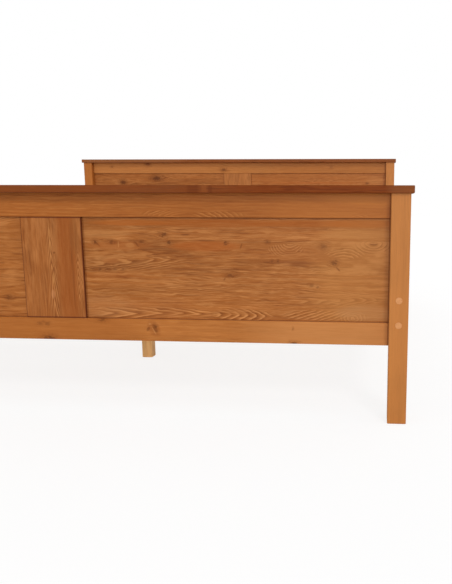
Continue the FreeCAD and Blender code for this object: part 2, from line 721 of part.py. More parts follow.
def check_model():
    """Stop if an object failed, a cut removed nothing or a sub-part isn't whole."""
    for item in doc.Objects:
        if "Invalid" in item.State or "Error" in item.State:
            raise RuntimeError(f"{item.Label} failed: {item.State}")
        if item.isDerivedFrom("PartDesign::FeatureSubtractive") or item.TypeId == "PartDesign::Hole":
            if item.Shape.Volume > item.BaseFeature.Shape.Volume - TOLERANCE:
                raise RuntimeError(f"{item.Label} cuts nothing")
    for body in sub_parts:
        if body.Shape.isNull() or not body.Shape.isValid():
            raise RuntimeError(f"{body.Label} has no valid shape")
        if len(body.Shape.Solids) != solid_counts[body.Label]:
            raise RuntimeError(f"{body.Label} has {len(body.Shape.Solids)} solids")


check_model()
os.makedirs("parts", exist_ok=True)
for body in sub_parts:
    body.Shape.exportStep(f"parts/{body.Label}.step")
print(f"{len(sub_parts)} sub-parts, {sum(solid_counts.values())} solids")
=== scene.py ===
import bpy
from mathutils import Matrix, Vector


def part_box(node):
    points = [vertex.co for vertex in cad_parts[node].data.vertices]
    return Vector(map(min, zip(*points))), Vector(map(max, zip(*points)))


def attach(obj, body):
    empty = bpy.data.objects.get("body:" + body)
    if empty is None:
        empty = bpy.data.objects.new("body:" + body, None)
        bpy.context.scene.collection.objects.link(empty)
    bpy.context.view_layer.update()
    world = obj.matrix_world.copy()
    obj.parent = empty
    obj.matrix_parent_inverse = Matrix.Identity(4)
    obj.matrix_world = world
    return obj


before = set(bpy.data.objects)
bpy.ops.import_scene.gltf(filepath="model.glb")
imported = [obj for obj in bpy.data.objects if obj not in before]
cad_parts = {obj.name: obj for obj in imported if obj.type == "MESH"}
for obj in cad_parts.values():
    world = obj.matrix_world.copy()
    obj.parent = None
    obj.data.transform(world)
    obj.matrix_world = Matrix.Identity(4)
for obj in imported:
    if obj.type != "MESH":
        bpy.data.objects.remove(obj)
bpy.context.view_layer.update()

"""Timber finishes, wood screws, floor, lamps and camera for the panel bed.

Everything is in metres in the bed's own frame: the origin is on the floor under the middle of
the bed, +X to the right seen from the foot, +Y towards the head, +Z up.
"""

import logging
import math
import random
from dataclasses import dataclass, field, replace
from enum import Enum
from typing import Any, Iterable, Mapping, Sequence, Union

import bmesh
import bpy
from mathutils import Matrix, Vector
from mathutils.geometry import tessellate_polygon

log = logging.getLogger("panel_bed")

Colour = tuple[float, float, float]
Point = tuple[float, float, float]
Span = tuple[float, float]
Step = tuple[float, float, float, float]
Stops = Sequence[tuple[float, Sequence[float]]]


def rgb(red: int, green: int, blue: int) -> Colour:
    """A colour as a shader needs it.

    Args:
        red, green, blue: The colour as a screen shows it, 0 to 255.

    Returns:
        The same colour in linear light, 0 to 1.
    """
    shares = (value / 255 for value in (red, green, blue))
    return tuple(s / 12.92 if s <= 0.04045 else ((s + 0.055) / 1.055) ** 2.4 for s in shares)


@dataclass(frozen=True)
class Noise:
    """Soft noise: the length of a lump along each axis in metres, a shift and finer layers."""

    size: Point
    shift: float
    detail: float = 2.0


# Timber: how the fibres wander, then what shows along them.
SWAY = Noise((0.4, 0.07, 0.07), 3.1, 1.0)
RIPPLE = Noise((0.1, 0.02, 0.03), 7.7)
CURL = Noise((0.03, 0.008, 0.02), 5.3, 1.0)
FINE = Noise((0.045, 0.0016, 0.0016), 11.0, 3.0)
COARSE = Noise((0.07, 0.0038, 0.0038), 23.0, 2.5)
BROAD = Noise((0.45, 0.03, 0.03), 37.0)
BLOTCH = Noise((0.06, 0.018, 0.03), 51.0)
GRIT = Noise((0.006, 0.0035, 0.0035), 63.0, 3.0)
# End grain, steel and floor.
PORES = Noise((0.0011, 0.0011, 0.0011), 5.0)
BANDS = Noise((0.009, 0.02, 0.0022), 9.0, 1.0)
HAZE = Noise((0.02, 0.02, 0.02), 2.0, 3.0)
MARKS = Noise((0.004, 0.0007, 0.004), 7.0)
DUST = Noise((0.4, 0.4, 0.4), 1.0, 3.0)


# Shader maths
# ------------


class Amount:
    """A number that varies over a surface. Arithmetic on it adds Math nodes to its recipe."""

    def __init__(self, recipe: "Recipe", socket: bpy.types.NodeSocket) -> None:
        """Wraps the socket that carries the number."""
        self.recipe = recipe
        self.socket = socket

    def _maths(self, operation: str, *terms: "Feed") -> "Amount":
        """One Math node over the terms."""
        node = self.recipe.add("ShaderNodeMath", {"operation": operation}, dict(enumerate(terms)))
        return Amount(self.recipe, node.outputs[0])

    def __add__(self, other: "Feed") -> "Amount":
        """This plus the other."""
        return self._maths("ADD", self, other)

    __radd__ = __add__

    def __sub__(self, other: "Feed") -> "Amount":
        """This less the other."""
        return self._maths("SUBTRACT", self, other)

    def __rsub__(self, other: "Feed") -> "Amount":
        """The other less this."""
        return self._maths("SUBTRACT", other, self)

    def __mul__(self, other: "Feed") -> "Amount":
        """This times the other."""
        return self._maths("MULTIPLY", self, other)

    __rmul__ = __mul__

    def __truediv__(self, other: "Feed") -> "Amount":
        """This over the other."""
        return self._maths("DIVIDE", self, other)

    def __abs__(self) -> "Amount":
        """Its size without its sign."""
        return self._maths("ABSOLUTE", self)

    def root(self) -> "Amount":
        """Its square root."""
        return self._maths("SQRT", self)

    def fraction(self) -> "Amount":
        """What is left above the whole number below it."""
        return self._maths("FRACT", self)

    def rise(self, low: float, high: float, start: float = 0.0, end: float = 1.0) -> "Amount":
        """A soft step.

        Args:
            low, high: Where the step begins and ends.
            start, end: The values before and after it.

        Returns:
            The stepped number.
        """
        ends = {"From Min": low, "From Max": high, "To Min": start, "To Max": end}
        settings = {"interpolation_type": "SMOOTHSTEP"}
        node = self.recipe.add("ShaderNodeMapRange", settings, {"Value": self, **ends})
        return Amount(self.recipe, node.outputs[0])


Feed = Union[float, Sequence[float], Amount, bpy.types.NodeSocket]


class Recipe:
    """The node tree of one finish, or of the sky."""

    def __init__(self, owner: Union[bpy.types.Material, bpy.types.World]) -> None:
        """Empties the owner's node tree.

        Args:
            owner: The material or the sky that it belongs to.
        """
        owner.use_nodes = True
        self.owner = owner
        self.tree = owner.node_tree
        self.tree.nodes.clear()

    @classmethod
    def of_material(cls, name: str) -> "Recipe":
        """Starts a new material."""
        return cls(bpy.data.materials.new(name))

    def add(
        self, kind: str, settings: Mapping[str, Any], inputs: Mapping[Any, Feed]
    ) -> bpy.types.Node:
        """Adds a node.

        Args:
            kind: The node's type.
            settings: Its own settings, which are set first; "stops" fills a ramp.
            inputs: A value or a link for each socket, by name or number.

        Returns:
            The node.
        """
        node = self.tree.nodes.new(kind)
        for name, choice in settings.items():
            if name == "stops":
                self._fill_ramp(node.color_ramp, choice)
            else:
                setattr(node, name, choice)
        for key, feed in inputs.items():
            source = feed.socket if isinstance(feed, Amount) else feed
            if isinstance(source, bpy.types.NodeSocket):
                self.tree.links.new(source, node.inputs[key])
            else:
                node.inputs[key].default_value = source
        return node

    @staticmethod
    def _fill_ramp(ramp: bpy.types.ColorRamp, stops: Stops) -> None:
        """Gives a ramp its steps.

        Args:
            ramp: The ramp.
            stops: For each step its place from 0 to 1, and four numbers.
        """
        ramp.interpolation = "CONSTANT"
        while len(ramp.elements) < len(stops):
            ramp.elements.new(1.0)
        for element, (place, numbers) in zip(ramp.elements, stops):
            element.position = place
            element.color = numbers

    def mix(self, share: Feed, first: Feed, second: Feed) -> bpy.types.NodeSocket:
        """Two colours mixed.

        Args:
            share: How much of the second, 0 to 1.
            first, second: Colours or links.

        Returns:
            The mixed colour.
        """
        feeds = [feed + (1.0,) if isinstance(feed, tuple) else feed for feed in (first, second)]
        inputs = {0: share, 6: feeds[0], 7: feeds[1]}
        return self.add("ShaderNodeMix", {"data_type": "RGBA"}, inputs).outputs[2]

    def scaled(self, colour: Feed, by: Amount) -> bpy.types.NodeSocket:
        """A colour made lighter or darker by a varying number."""
        node = self.add("ShaderNodeVectorMath", {"operation": "SCALE"}, {0: colour, "Scale": by})
        return node.outputs[0]

    def joined(self, x: Feed, y: Feed, z: Feed) -> bpy.types.NodeSocket:
        """A place from its three numbers."""
        return self.add("ShaderNodeCombineXYZ", {}, {0: x, 1: y, 2: z}).outputs[0]

    def parts(self, place: Feed) -> tuple[Amount, Amount, Amount]:
        """The three numbers of a place."""
        outputs = self.add("ShaderNodeSeparateXYZ", {}, {0: place}).outputs
        return tuple(Amount(self, output) for output in outputs)

    def here(self) -> bpy.types.NodeSocket:
        """The shaded place in the bed's own coordinates."""
        return self.add("ShaderNodeTexCoord", {}, {}).outputs["Object"]

    def cloud(self, place: Feed, noise: Noise, seed: float = 0.0) -> Amount:
        """Soft noise.

        Args:
            place: Where on the surface.
            noise: Its size and detail.
            seed: Shifts it further, so that two finishes differ.

        Returns:
            A number about 0.5.
        """
        per_metre = tuple(1.0 / length for length in noise.size)
        start = seed + noise.shift
        shift = (start, 1.7 * start, -2.3 * start)
        settings = {"operation": "MULTIPLY_ADD"}
        spread = self.add("ShaderNodeVectorMath", settings, {0: place, 1: per_metre, 2: shift})
        inputs = {"Vector": spread.outputs[0], "Scale": 1.0, "Detail": noise.detail}
        inputs["Roughness"] = 0.6
        return Amount(self, self.add("ShaderNodeTexNoise", {}, inputs).outputs[0])

    def finish(
        self, surface: Mapping[str, Feed], height: Amount, depth: float
    ) -> bpy.types.Material:
        """Closes the recipe with a surface shader and a bump.

        Args:
            surface: Sockets of the surface shader.
            height: The relief, 0 to 1.
            depth: The height of a relief of 1, in metres.

        Returns:
            The finished material.
        """
        relief = {"Strength": 1.0, "Distance": depth, "Height": height}
        normal = self.add("ShaderNodeBump", {}, relief).outputs[0]
        shader = self.add("ShaderNodeBsdfPrincipled", {}, {**surface, "Normal": normal})
        self.add("ShaderNodeOutputMaterial", {}, {"Surface": shader.outputs[0]})
        return self.owner

    def light_rays(self, *kinds: str) -> Amount:
        """Tells kinds of light ray apart.

        Args:
            kinds: Their names on the light path node.

        Returns:
            1 for rays of any of these kinds, and 0 for the others.
        """
        rays = self.add("ShaderNodeLightPath", {}, {}).outputs
        total = sum((Amount(self, rays[kind]) for kind in kinds), start=0.0)
        node = self.add("ShaderNodeMath", {"operation": "MINIMUM"}, {0: total, 1: 1.0})
        return Amount(self, node.outputs[0])


# Timber
# ------


class Grain(Enum):
    """Which way the fibres of a board run, and which way its face lies across them."""

    LEVEL_UPRIGHT = "XZY"
    LEVEL_FLAT = "XYZ"
    UPRIGHT = "ZXY"
    LONG_UPRIGHT = "YZX"


@dataclass(frozen=True)
class Board:
    """One board of a glued-up width. Lengths are across the grain, in the bed's frame."""

    top: float
    tone: float
    pith: float
    taper: float = 0.02
    rings: float = 0.4


@dataclass(frozen=True)
class Knot:
    """A knot in a board's face: along and across the grain, radius, darkness, stretch."""

    along: float
    across: float
    radius: float
    dark: float = 0.7
    stretch: float = 1.4


@dataclass(frozen=True)
class Patch:
    """A soft-edged stretch of another colour: middle, half sizes, colour and strength."""

    along: float
    across: float
    half_length: float
    half_width: float
    colour: Colour
    strength: float = 0.5
    streaked: float = 0.5
    tilt: float = 0.0


@dataclass(frozen=True)
class Figure:
    """A nest of pale arcs where the saw met the growth rings: arrowheads or ovals.

    The first four numbers give the middle and half sizes of the region. The arcs' axis runs
    along the grain at the height axis, and they flatten out at source. A bow makes arrowheads
    from there on, a squeeze makes ovals round it, lean tilts the axis, and waver is how many
    rings the arcs stray.
    """

    along: float
    across: float
    half_length: float
    half_width: float
    rings: float
    source: float
    axis: float
    strength: float = 0.7
    bow: float = 0.0
    squeeze: float = 0.0
    core: float = 0.005
    lean: float = 0.0
    waver: float = 2.2


# The ramp that holds the boards' facts: how far it reaches below the lowest board's top, how
# far outside the boards a pith may lie, and the widest tone and range of tapers it can hold.
RAMP_BELOW = 0.2
PITH_MARGIN = 0.5
TONE_SPAN = 2.0
TAPER_SPAN = 0.2

# What the noise does: shift along the grain for each metre of pith, stray of the rings in rings,
# share of the broad mottle, and change of roughness.
BOARD_SHIFT = 7.0
RING_STRAY = 0.9
BROAD_SHARE = 2.6
ROUGHNESS_RANGE = 0.16

# Relief of fibres, streaks and rings as shares of the whole, and the whole in metres.
FINE_RELIEF = 0.5
COARSE_RELIEF = 0.3
RING_RELIEF = 0.1
TIMBER_RELIEF = 0.0003

# Soft steps, as where each begins and ends, and then its two values unless they are 0 and 1.
RINGS_SHOW = (0.36, 0.62)
STREAKS_SHOW = (0.5, 0.67)
FIBRES_SHOW = (0.45, 0.63)
RING_RIDGE = (0.5, 0.9)
PALE_RISE = (0.42, 0.8)
PALE_FALL = (0.86, 1.0, 1.0, 0.0)
DARK_FALL = (0.0, 0.4, 1.0, 0.0)
DARK_SHARE = 0.7
FIGURE_EDGE = (0.45, 1.2)
FIGURE_BREAKS = (0.32, 0.52, 0.35, 1.0)
PATCH_EDGE = (0.25, 1.15)
PATCH_STREAKS = (0.4, 0.62)
GLUE_LINE = (0.0, 0.0012, 0.22, 0.0)

# Knots, in knot radii: how fibres part round one, its fray, halo and heart, and the strength
# of both, and how much darker than the dark streaks its heart is.
KNOT_BEND = (0.3, 3.6, 0.8, 0.0)
KNOT_FRAY = 4.5
HALO = (0.6, 3.0)
HALO_SHARE = 0.55
HEART = (0.2, 1.3)
HEART_SHARE = 0.85
HEART_SHADE = 0.55


@dataclass(frozen=True)
class PineFinish:
    """Stained and lacquered softwood, as growth rings, fibres, boards, knots and patches."""

    name: str
    grain: Grain
    base: Colour
    dark: Colour
    light: Colour
    boards: tuple[Board, ...] = ()
    pith: float = 0.0
    depth: float = 0.09
    ring_width: float = 0.0035
    taper: float = 0.006
    rings: float = 0.4
    streaks: float = 0.5
    fibres: float = 0.35
    mottle: float = 0.16
    sway: float = 0.014
    ripple: float = 0.006
    curl: float = 0.001
    knots: tuple[Knot, ...] = ()
    figures: tuple[Figure, ...] = ()
    patches: tuple[Patch, ...] = ()
    roughness: float = 0.42
    gloss: float = 0.15
    seed: float = 0.0

    def make(self) -> bpy.types.Material:
        """Builds the material.

        Returns:
            The material, which reads only the bed's own coordinates.
        """
        recipe = Recipe.of_material(self.name)
        numbers = dict(zip("XYZ", recipe.parts(recipe.here())))
        along, across, through = (numbers[axis] for axis in self.grain.value)

        tone, pith, taper, rings = self._board_facts(recipe, across)
        own = along + pith * BOARD_SHIFT
        plain = recipe.joined(own, across, through)
        sway, ripple = (recipe.cloud(plain, noise, self.seed) for noise in (SWAY, RIPPLE))
        bent, distances = self._round_knots(along, across)
        curl = recipe.cloud(plain, CURL, self.seed)
        bent = bent + (sway - 0.5) * self.sway + (ripple - 0.5) * self.ripple
        bent = bent + (curl - 0.5) * self.curl
        fibre_place = recipe.joined(own, bent, through)

        fine, coarse, broad, blotch = (
            recipe.cloud(fibre_place, noise, self.seed) for noise in (FINE, COARSE, BROAD, BLOTCH)
        )
        grit = recipe.cloud(plain, GRIT, self.seed)

        aside = bent - pith
        behind = through + self.depth
        radius = (aside * aside + behind * behind).root() + taper * along
        turns = (radius / self.ring_width + (blotch - 0.5) * RING_STRAY).fraction()
        shown = rings * blotch.rise(*RINGS_SHOW)

        colour = recipe.mix(coarse.rise(*STREAKS_SHOW) * self.streaks, self.base, self.dark)
        colour = recipe.mix(fine.rise(*FIBRES_SHOW) * self.fibres, colour, self.light)
        colour = self._ring_lines(recipe, colour, turns, shown)
        for figure in self.figures:
            colour = self._lay_figure(recipe, figure, colour, (along, bent), ripple)
        slow = (broad - 0.5) * (self.mottle * BROAD_SHARE)
        drift = 1.0 + slow + (blotch - 0.5) * self.mottle
        colour = recipe.scaled(colour, tone * drift)
        colour = self._glue_lines(recipe, colour, across)
        for patch in self.patches:
            share = self._patch_share(patch, along, across, coarse)
            colour = recipe.mix(share, colour, patch.colour)
        for knot, distance in zip(self.knots, distances):
            colour = self._knot_colour(recipe, colour, knot, distance, grit)

        rough = self.roughness + (fine - 0.5) * ROUGHNESS_RANGE
        height = fine * FINE_RELIEF + coarse * COARSE_RELIEF
        height = height + turns.rise(*RING_RIDGE) * RING_RELIEF
        surface = {"Base Color": colour, "Roughness": rough, "Specular IOR Level": self.gloss}
        return recipe.finish(surface, height, TIMBER_RELIEF)

    def _board_facts(self, recipe: Recipe, across: Amount) -> tuple[Feed, Feed, Feed, Feed]:
        """Tone, pith, taper and ring strength, stepped from board to board where there are any.

        Args:
            recipe: The finish's recipe.
            across: The place across the grain.

        Returns:
            The four numbers.
        """
        if not self.boards:
            return 1.0, self.pith, self.taper, self.rings
        low = self.boards[0].top - RAMP_BELOW
        span = self.boards[-1].top - low
        pith_span = span + 2 * PITH_MARGIN
        stops = []
        edge = 0.0
        for board in self.boards:
            pith = (board.pith - low + PITH_MARGIN) / pith_span
            taper = board.taper / TAPER_SPAN + 0.5
            stops.append((edge, (board.tone / TONE_SPAN, pith, taper, board.rings)))
            edge = (board.top - low) / span
        ramp = recipe.add("ShaderNodeValToRGB", {"stops": stops}, {"Fac": (across - low) / span})
        tone, pith, taper = recipe.parts(ramp.outputs["Color"])
        rings = Amount(recipe, ramp.outputs["Alpha"])
        tone, pith = tone * TONE_SPAN, pith * pith_span + (low - PITH_MARGIN)
        return tone, pith, (taper - 0.5) * TAPER_SPAN, rings

    def _round_knots(self, along: Amount, across: Amount) -> tuple[Amount, list[Amount]]:
        """Bends the fibres round each knot.

        Args:
            along, across: The place on the board's face.

        Returns:
            The place across the grain as the fibres have it, and the distance from each knot
            in knot radii.
        """
        bent = across
        distances = []
        for knot in self.knots:
            beside = across - knot.across
            ahead = (along - knot.along) / knot.stretch
            distance = (ahead * ahead + beside * beside).root() / knot.radius
            bent = bent - beside * distance.rise(*KNOT_BEND)
            distances.append(distance)
        return bent, distances

    def _ring_lines(self, recipe: Recipe, colour: Feed, turns: Amount, share: Feed) -> Feed:
        """Draws each ring as a pale line with a darker one behind it.

        Args:
            recipe: The finish's recipe.
            colour: What lies under the lines.
            turns: The place within a ring, 0 to 1.
            share: How strong the lines are, 0 to 1.

        Returns:
            The colour with the lines on it.
        """
        pale = turns.rise(*PALE_RISE) * turns.rise(*PALE_FALL)
        deep = turns.rise(*DARK_FALL)
        colour = recipe.mix(pale * share, colour, self.light)
        return recipe.mix(deep * share * DARK_SHARE, colour, self.dark)

    def _lay_figure(
        self,
        recipe: Recipe,
        figure: Figure,
        colour: Feed,
        place: tuple[Amount, Amount],
        noise: Amount,
    ) -> Feed:
        """Draws a nest of arcs over a colour.

        Args:
            recipe: The finish's recipe.
            figure: The nest.
            colour: What lies under it.
            place: Along and across the grain.
            noise: Soft noise that makes the arcs uneven.

        Returns:
            The colour with the arcs on it.
        """
        along, across = place
        ahead = along - figure.source
        beside = across - figure.axis - (along - figure.along) * figure.lean
        oval = ahead * figure.squeeze
        round_part = (oval * oval + beside * beside + figure.core**2).root()
        nested = round_part + ahead * ahead * (figure.bow / 2)
        turns = (nested / figure.rings + (noise - 0.5) * figure.waver).fraction()
        length = (along - figure.along) / figure.half_length
        width = (across - figure.across) / figure.half_width
        inside = (length * length + width * width).rise(*FIGURE_EDGE, figure.strength, 0.0)
        return self._ring_lines(recipe, colour, turns, inside * noise.rise(*FIGURE_BREAKS))

    def _glue_lines(self, recipe: Recipe, colour: Feed, across: Amount) -> Feed:
        """Draws the faint glue lines between boards.

        Args:
            recipe: The finish's recipe.
            colour: What lies under them.
            across: The place across the grain.

        Returns:
            The colour with the lines on it.
        """
        for board in self.boards[:-1]:
            near = abs(across - board.top).rise(*GLUE_LINE)
            colour = recipe.mix(near, colour, self.dark)
        return colour

    def _patch_share(self, patch: Patch, along: Amount, across: Amount, streak: Amount) -> Amount:
        """Works out how far a patch covers the surface.

        Args:
            patch: The patch.
            along, across: The place on the board's face.
            streak: Noise that breaks the patch up along the fibres.

        Returns:
            A number from 0 to the patch's strength.
        """
        ahead, beside = along - patch.along, across - patch.across
        if patch.tilt:
            cosine, sine = math.cos(patch.tilt), math.sin(patch.tilt)
            ahead, beside = ahead * cosine + beside * sine, beside * cosine - ahead * sine
        ahead, beside = ahead / patch.half_length, beside / patch.half_width
        inside = (ahead * ahead + beside * beside).rise(*PATCH_EDGE, patch.strength, 0.0)
        return inside * (streak.rise(*PATCH_STREAKS) * patch.streaked + (1.0 - patch.streaked))

    def _knot_colour(
        self, recipe: Recipe, colour: Feed, knot: Knot, distance: Amount, grit: Amount
    ) -> Feed:
        """Lays a knot over a colour: reddish wood round it, then its uneven dark heart.

        Args:
            recipe: The finish's recipe.
            colour: What lies under the knot.
            knot: The knot.
            distance: How far away it is, in knot radii.
            grit: Fine noise that frays its edge.

        Returns:
            The colour with the knot on it.
        """
        frayed = distance + (grit - 0.5) * KNOT_FRAY
        halo = frayed.rise(*HALO, knot.dark * HALO_SHARE, 0.0)
        heart = frayed.rise(*HEART, knot.dark * HEART_SHARE, 0.0)
        deep = tuple(share * HEART_SHADE for share in self.dark)
        return recipe.mix(heart, recipe.mix(halo, colour, self.dark), deep)


@dataclass(frozen=True)
class EndGrainFinish:
    """Turned plugs of paler wood: fine pores and faint rings on the round face."""

    name: str
    base: Colour
    dark: Colour
    pores: Step = (0.45, 0.75, 0.0, 0.4)
    bands: Step = (0.4, 0.7, 0.0, 0.25)
    roughness: Span = (0.4, 0.2)
    gloss: float = 0.35
    relief: float = 0.0001

    def make(self) -> bpy.types.Material:
        """Builds the material.

        Returns:
            The material.
        """
        recipe = Recipe.of_material(self.name)
        place = recipe.here()
        pores, bands = recipe.cloud(place, PORES), recipe.cloud(place, BANDS)
        shade = pores.rise(*self.pores) + bands.rise(*self.bands)
        colour = recipe.mix(shade, self.base, self.dark)
        least, more = self.roughness
        surface = {"Base Color": colour, "Roughness": least + pores * more}
        surface["Specular IOR Level"] = self.gloss
        return recipe.finish(surface, pores, self.relief)


@dataclass(frozen=True)
class SteelFinish:
    """Zinc-coated steel: cloudy spangle and fine marks."""

    name: str
    base: Colour
    shade: Colour
    spangle: float
    roughness: float
    cells_share: float = 0.5
    haze_share: float = 0.4
    haze_rough: float = 0.25
    marks_rough: float = 0.1
    metal: float = 0.9
    relief: float = 0.00008

    def make(self) -> bpy.types.Material:
        """Builds the material.

        Returns:
            The material.
        """
        recipe = Recipe.of_material(self.name)
        place = recipe.here()
        flakes = {"Vector": place, "Scale": 1.0 / self.spangle}
        cells = Amount(recipe, recipe.add("ShaderNodeTexVoronoi", {}, flakes).outputs["Distance"])
        haze, marks = recipe.cloud(place, HAZE), recipe.cloud(place, MARKS)
        share = cells * self.cells_share + haze * self.haze_share
        colour = recipe.mix(share, self.base, self.shade)
        rough = self.roughness + (haze - 0.5) * self.haze_rough + (marks - 0.5) * self.marks_rough
        surface = {"Base Color": colour, "Roughness": rough, "Metallic": self.metal}
        return recipe.finish(surface, marks, self.relief)


# The first colour is painted shade, for the dark lines along joints and recesses; the rest are the
# wood's own colours.
PAINTED_SHADE = rgb(88, 32, 8)
BROWN = rgb(116, 60, 18)
RUST = rgb(134, 66, 20)
ORANGE = rgb(170, 86, 22)
TAN = rgb(188, 126, 68)

# Places on the bed that the finishes line up with, in metres.
EVERYWHERE = 5.0
INNER_POST = 0.794
MUNTIN_EDGE = 0.0735
PANEL_MIDDLE = 0.43
PANEL_BOTTOM = 0.235
FOOT_PANEL_TOP = 0.474
HEAD_PANEL_TOP = 0.672
FOOT_CAP_FACE = -1.081
POST_MIDDLE = 0.816

SLATS = [f"slat_{number:02d}" for number in range(1, 15)]
HEAD_SHIFT = 40.0


def painted_shade_line(along: float, across: float, upright: bool = False, strength: float = 0.5) -> Patch:
    """A painted dark line of shade along an edge where parts meet, standing in for the shade in
    the recess there.

    Args:
        along, across: A point on the edge, along and across the grain.
        upright: Whether the edge runs across the grain.
        strength: How dark the line is, 0 to 1.

    Returns:
        The line.
    """
    sizes = (0.0035, EVERYWHERE) if upright else (EVERYWHERE, 0.0018)
    return Patch(along, across, *sizes, PAINTED_SHADE, strength, 0.0)


def stroke(along: float, across: float, half_length: float, tilt: float = 0.0) -> Patch:
    """A short thin brown mark in the grain: its middle, half its length and its tilt."""
    return Patch(along, across, half_length, 0.0022, BROWN, 0.6, 0.1, tilt)


def post_painted_shade(height: float) -> tuple[Patch, Patch]:
    """Painted shade: the dark lines where a rail at some height meets its two posts."""
    return painted_shade_line(INNER_POST, height, True), painted_shade_line(-INNER_POST, height, True)


def muntin_painted_shade(strength: float) -> tuple[Patch, ...]:
    """Painted shade: the dark lines along a muntin's sides and where it meets its rails.

    Args:
        strength: How dark they are, 0 to 1.

    Returns:
        The five lines.
    """
    sides = tuple(painted_shade_line(0.4, side * MUNTIN_EDGE, False, strength) for side in (-1, 1))
    joints = (PANEL_BOTTOM, FOOT_PANEL_TOP, HEAD_PANEL_TOP)
    return sides + tuple(painted_shade_line(joint, 0.0, True, strength) for joint in joints)


def panel_painted_shade(middle: float, top: float) -> tuple[Patch, ...]:
    """Painted shade: the dark lines round a panel, where it sits back from its muntin, post and
    rails.

    Args:
        middle: The panel's middle along the grain.
        top: The height of its upper rail's lower edge.

    Returns:
        The four lines.
    """
    side = math.copysign(1.0, middle)
    fainter = 0.45 if top == HEAD_PANEL_TOP else 1.0
    return (
        painted_shade_line(side * (MUNTIN_EDGE + 0.001), 0.4, True, 0.35 * fainter),
        painted_shade_line(side * INNER_POST, 0.4, True, 0.5),
        painted_shade_line(middle, top, False, 0.6 * fainter),
        painted_shade_line(middle, PANEL_BOTTOM + 0.0005, False, 0.45),
    )


# Caps: red-brown stain. The foot's has a dark block and a pale fleck near its middle.
CAP = PineFinish(
    "cap_stain", Grain.LEVEL_FLAT, rgb(120, 54, 12), rgb(86, 32, 6), rgb(140, 74, 30),
    pith=0.4, depth=0.3, rings=0.3, fibres=0.3, mottle=0.2, roughness=0.38, gloss=0.06,
)
FOOT_CAP = replace(
    CAP,
    name="foot_cap_stain",
    patches=(
        Patch(0.02, FOOT_CAP_FACE, 0.48, 0.04, rgb(134, 78, 42), 0.5, 0.3),
        Patch(0.351, FOOT_CAP_FACE, 0.015, 0.012, rgb(92, 36, 8), 0.45, 0.3),
        Patch(0.377, FOOT_CAP_FACE, 0.007, 0.01, rgb(146, 80, 36), 0.45, 0.2),
        Patch(0.391, FOOT_CAP_FACE, 0.005, 0.01, rgb(88, 34, 8), 0.35, 0.2),
        Patch(0.835, FOOT_CAP_FACE, 0.055, 0.05, rgb(140, 84, 44), 0.5, 0.2),
        Patch(-0.3, -1.04, 0.02, 0.006, rgb(90, 34, 8), 0.5, 0.3),
    ),
)
HEAD_CAP = replace(
    CAP,
    name="head_cap_stain", base=rgb(139, 79, 39),
    patches=(Patch(-0.6, 1.0, 0.35, 0.2, rgb(150, 100, 64), 0.5, 0.2),),
    seed=HEAD_SHIFT,
)

# Rails: orange pine. The foot's top rail has pale arcs along its lower edge, and its bottom
# rail a branch knot and bark spots.
RAIL = PineFinish(
    "rail_pine", Grain.LEVEL_UPRIGHT, rgb(174, 104, 44), rgb(118, 58, 14), rgb(192, 126, 66),
    depth=0.2, rings=0.3, streaks=0.35,
)
FOOT_TOP_RAIL = replace(
    RAIL,
    name="foot_top_rail_pine", base=rgb(163, 92, 35), dark=rgb(128, 66, 18),
    light=rgb(190, 122, 60), pith=0.1, rings=0.35, streaks=0.4,
    figures=(
        Figure(0.27, 0.48, 0.055, 0.007, 0.0038, 0.335, 0.464, 1.0, squeeze=0.32, waver=1.5),
        Figure(0.4, 0.48, 0.065, 0.007, 0.0038, 0.325, 0.464, 1.0, squeeze=0.32, waver=1.5),
        Figure(0.7, 0.4795, 0.05, 0.006, 0.003, 0.69, 0.466, 0.8, squeeze=0.3),
    ),
    patches=(
        Patch(0.52, 0.5, 0.3, EVERYWHERE, rgb(158, 84, 20), 0.3, 0.2),
        # The next two patches are painted light: the right end is lighter, as the light falls from
        # the right, and lighter still just under the cap's right end, where the cap's shadow is
        # weaker.
        Patch(0.72, 0.503, 0.24, EVERYWHERE, rgb(182, 108, 44), 0.5, 0.2),
        Patch(0.78, 0.52, 0.16, 0.022, rgb(198, 122, 52), 0.5, 0.2),
        *post_painted_shade(0.5),
    ),
)
HEAD_TOP_RAIL = replace(
    RAIL,
    # Its base is lighter than the plain rail's, as painted light that evens out the shade under
    # the cap.
    name="head_top_rail_pine", base=rgb(179, 113, 52), dark=rgb(132, 70, 22),
    light=rgb(198, 132, 72), pith=0.3, depth=0.25,
    knots=(
        Knot(-0.491, 0.7235, 0.0085, 0.85, 1.5),
        Knot(-0.0735, 0.6905, 0.007, 0.75, 1.9),
        Knot(-0.6904, 0.7058, 0.005, 0.5),
        Knot(0.505, 0.703, 0.006, 0.4),
    ),
    patches=(
        # Painted light: a lighter strip along the top edge, in place of the shade under the cap.
        Patch(0.0, 0.722, EVERYWHERE, 0.012, rgb(196, 128, 66), 0.6, 0.2),
        Patch(-0.5, 0.7, 0.42, EVERYWHERE, rgb(190, 122, 64), 0.45, 0.2),
        Patch(0.5, 0.7, 0.36, EVERYWHERE, rgb(170, 96, 30), 0.35, 0.2),
        *post_painted_shade(0.7),
    ),
    seed=HEAD_SHIFT,
)
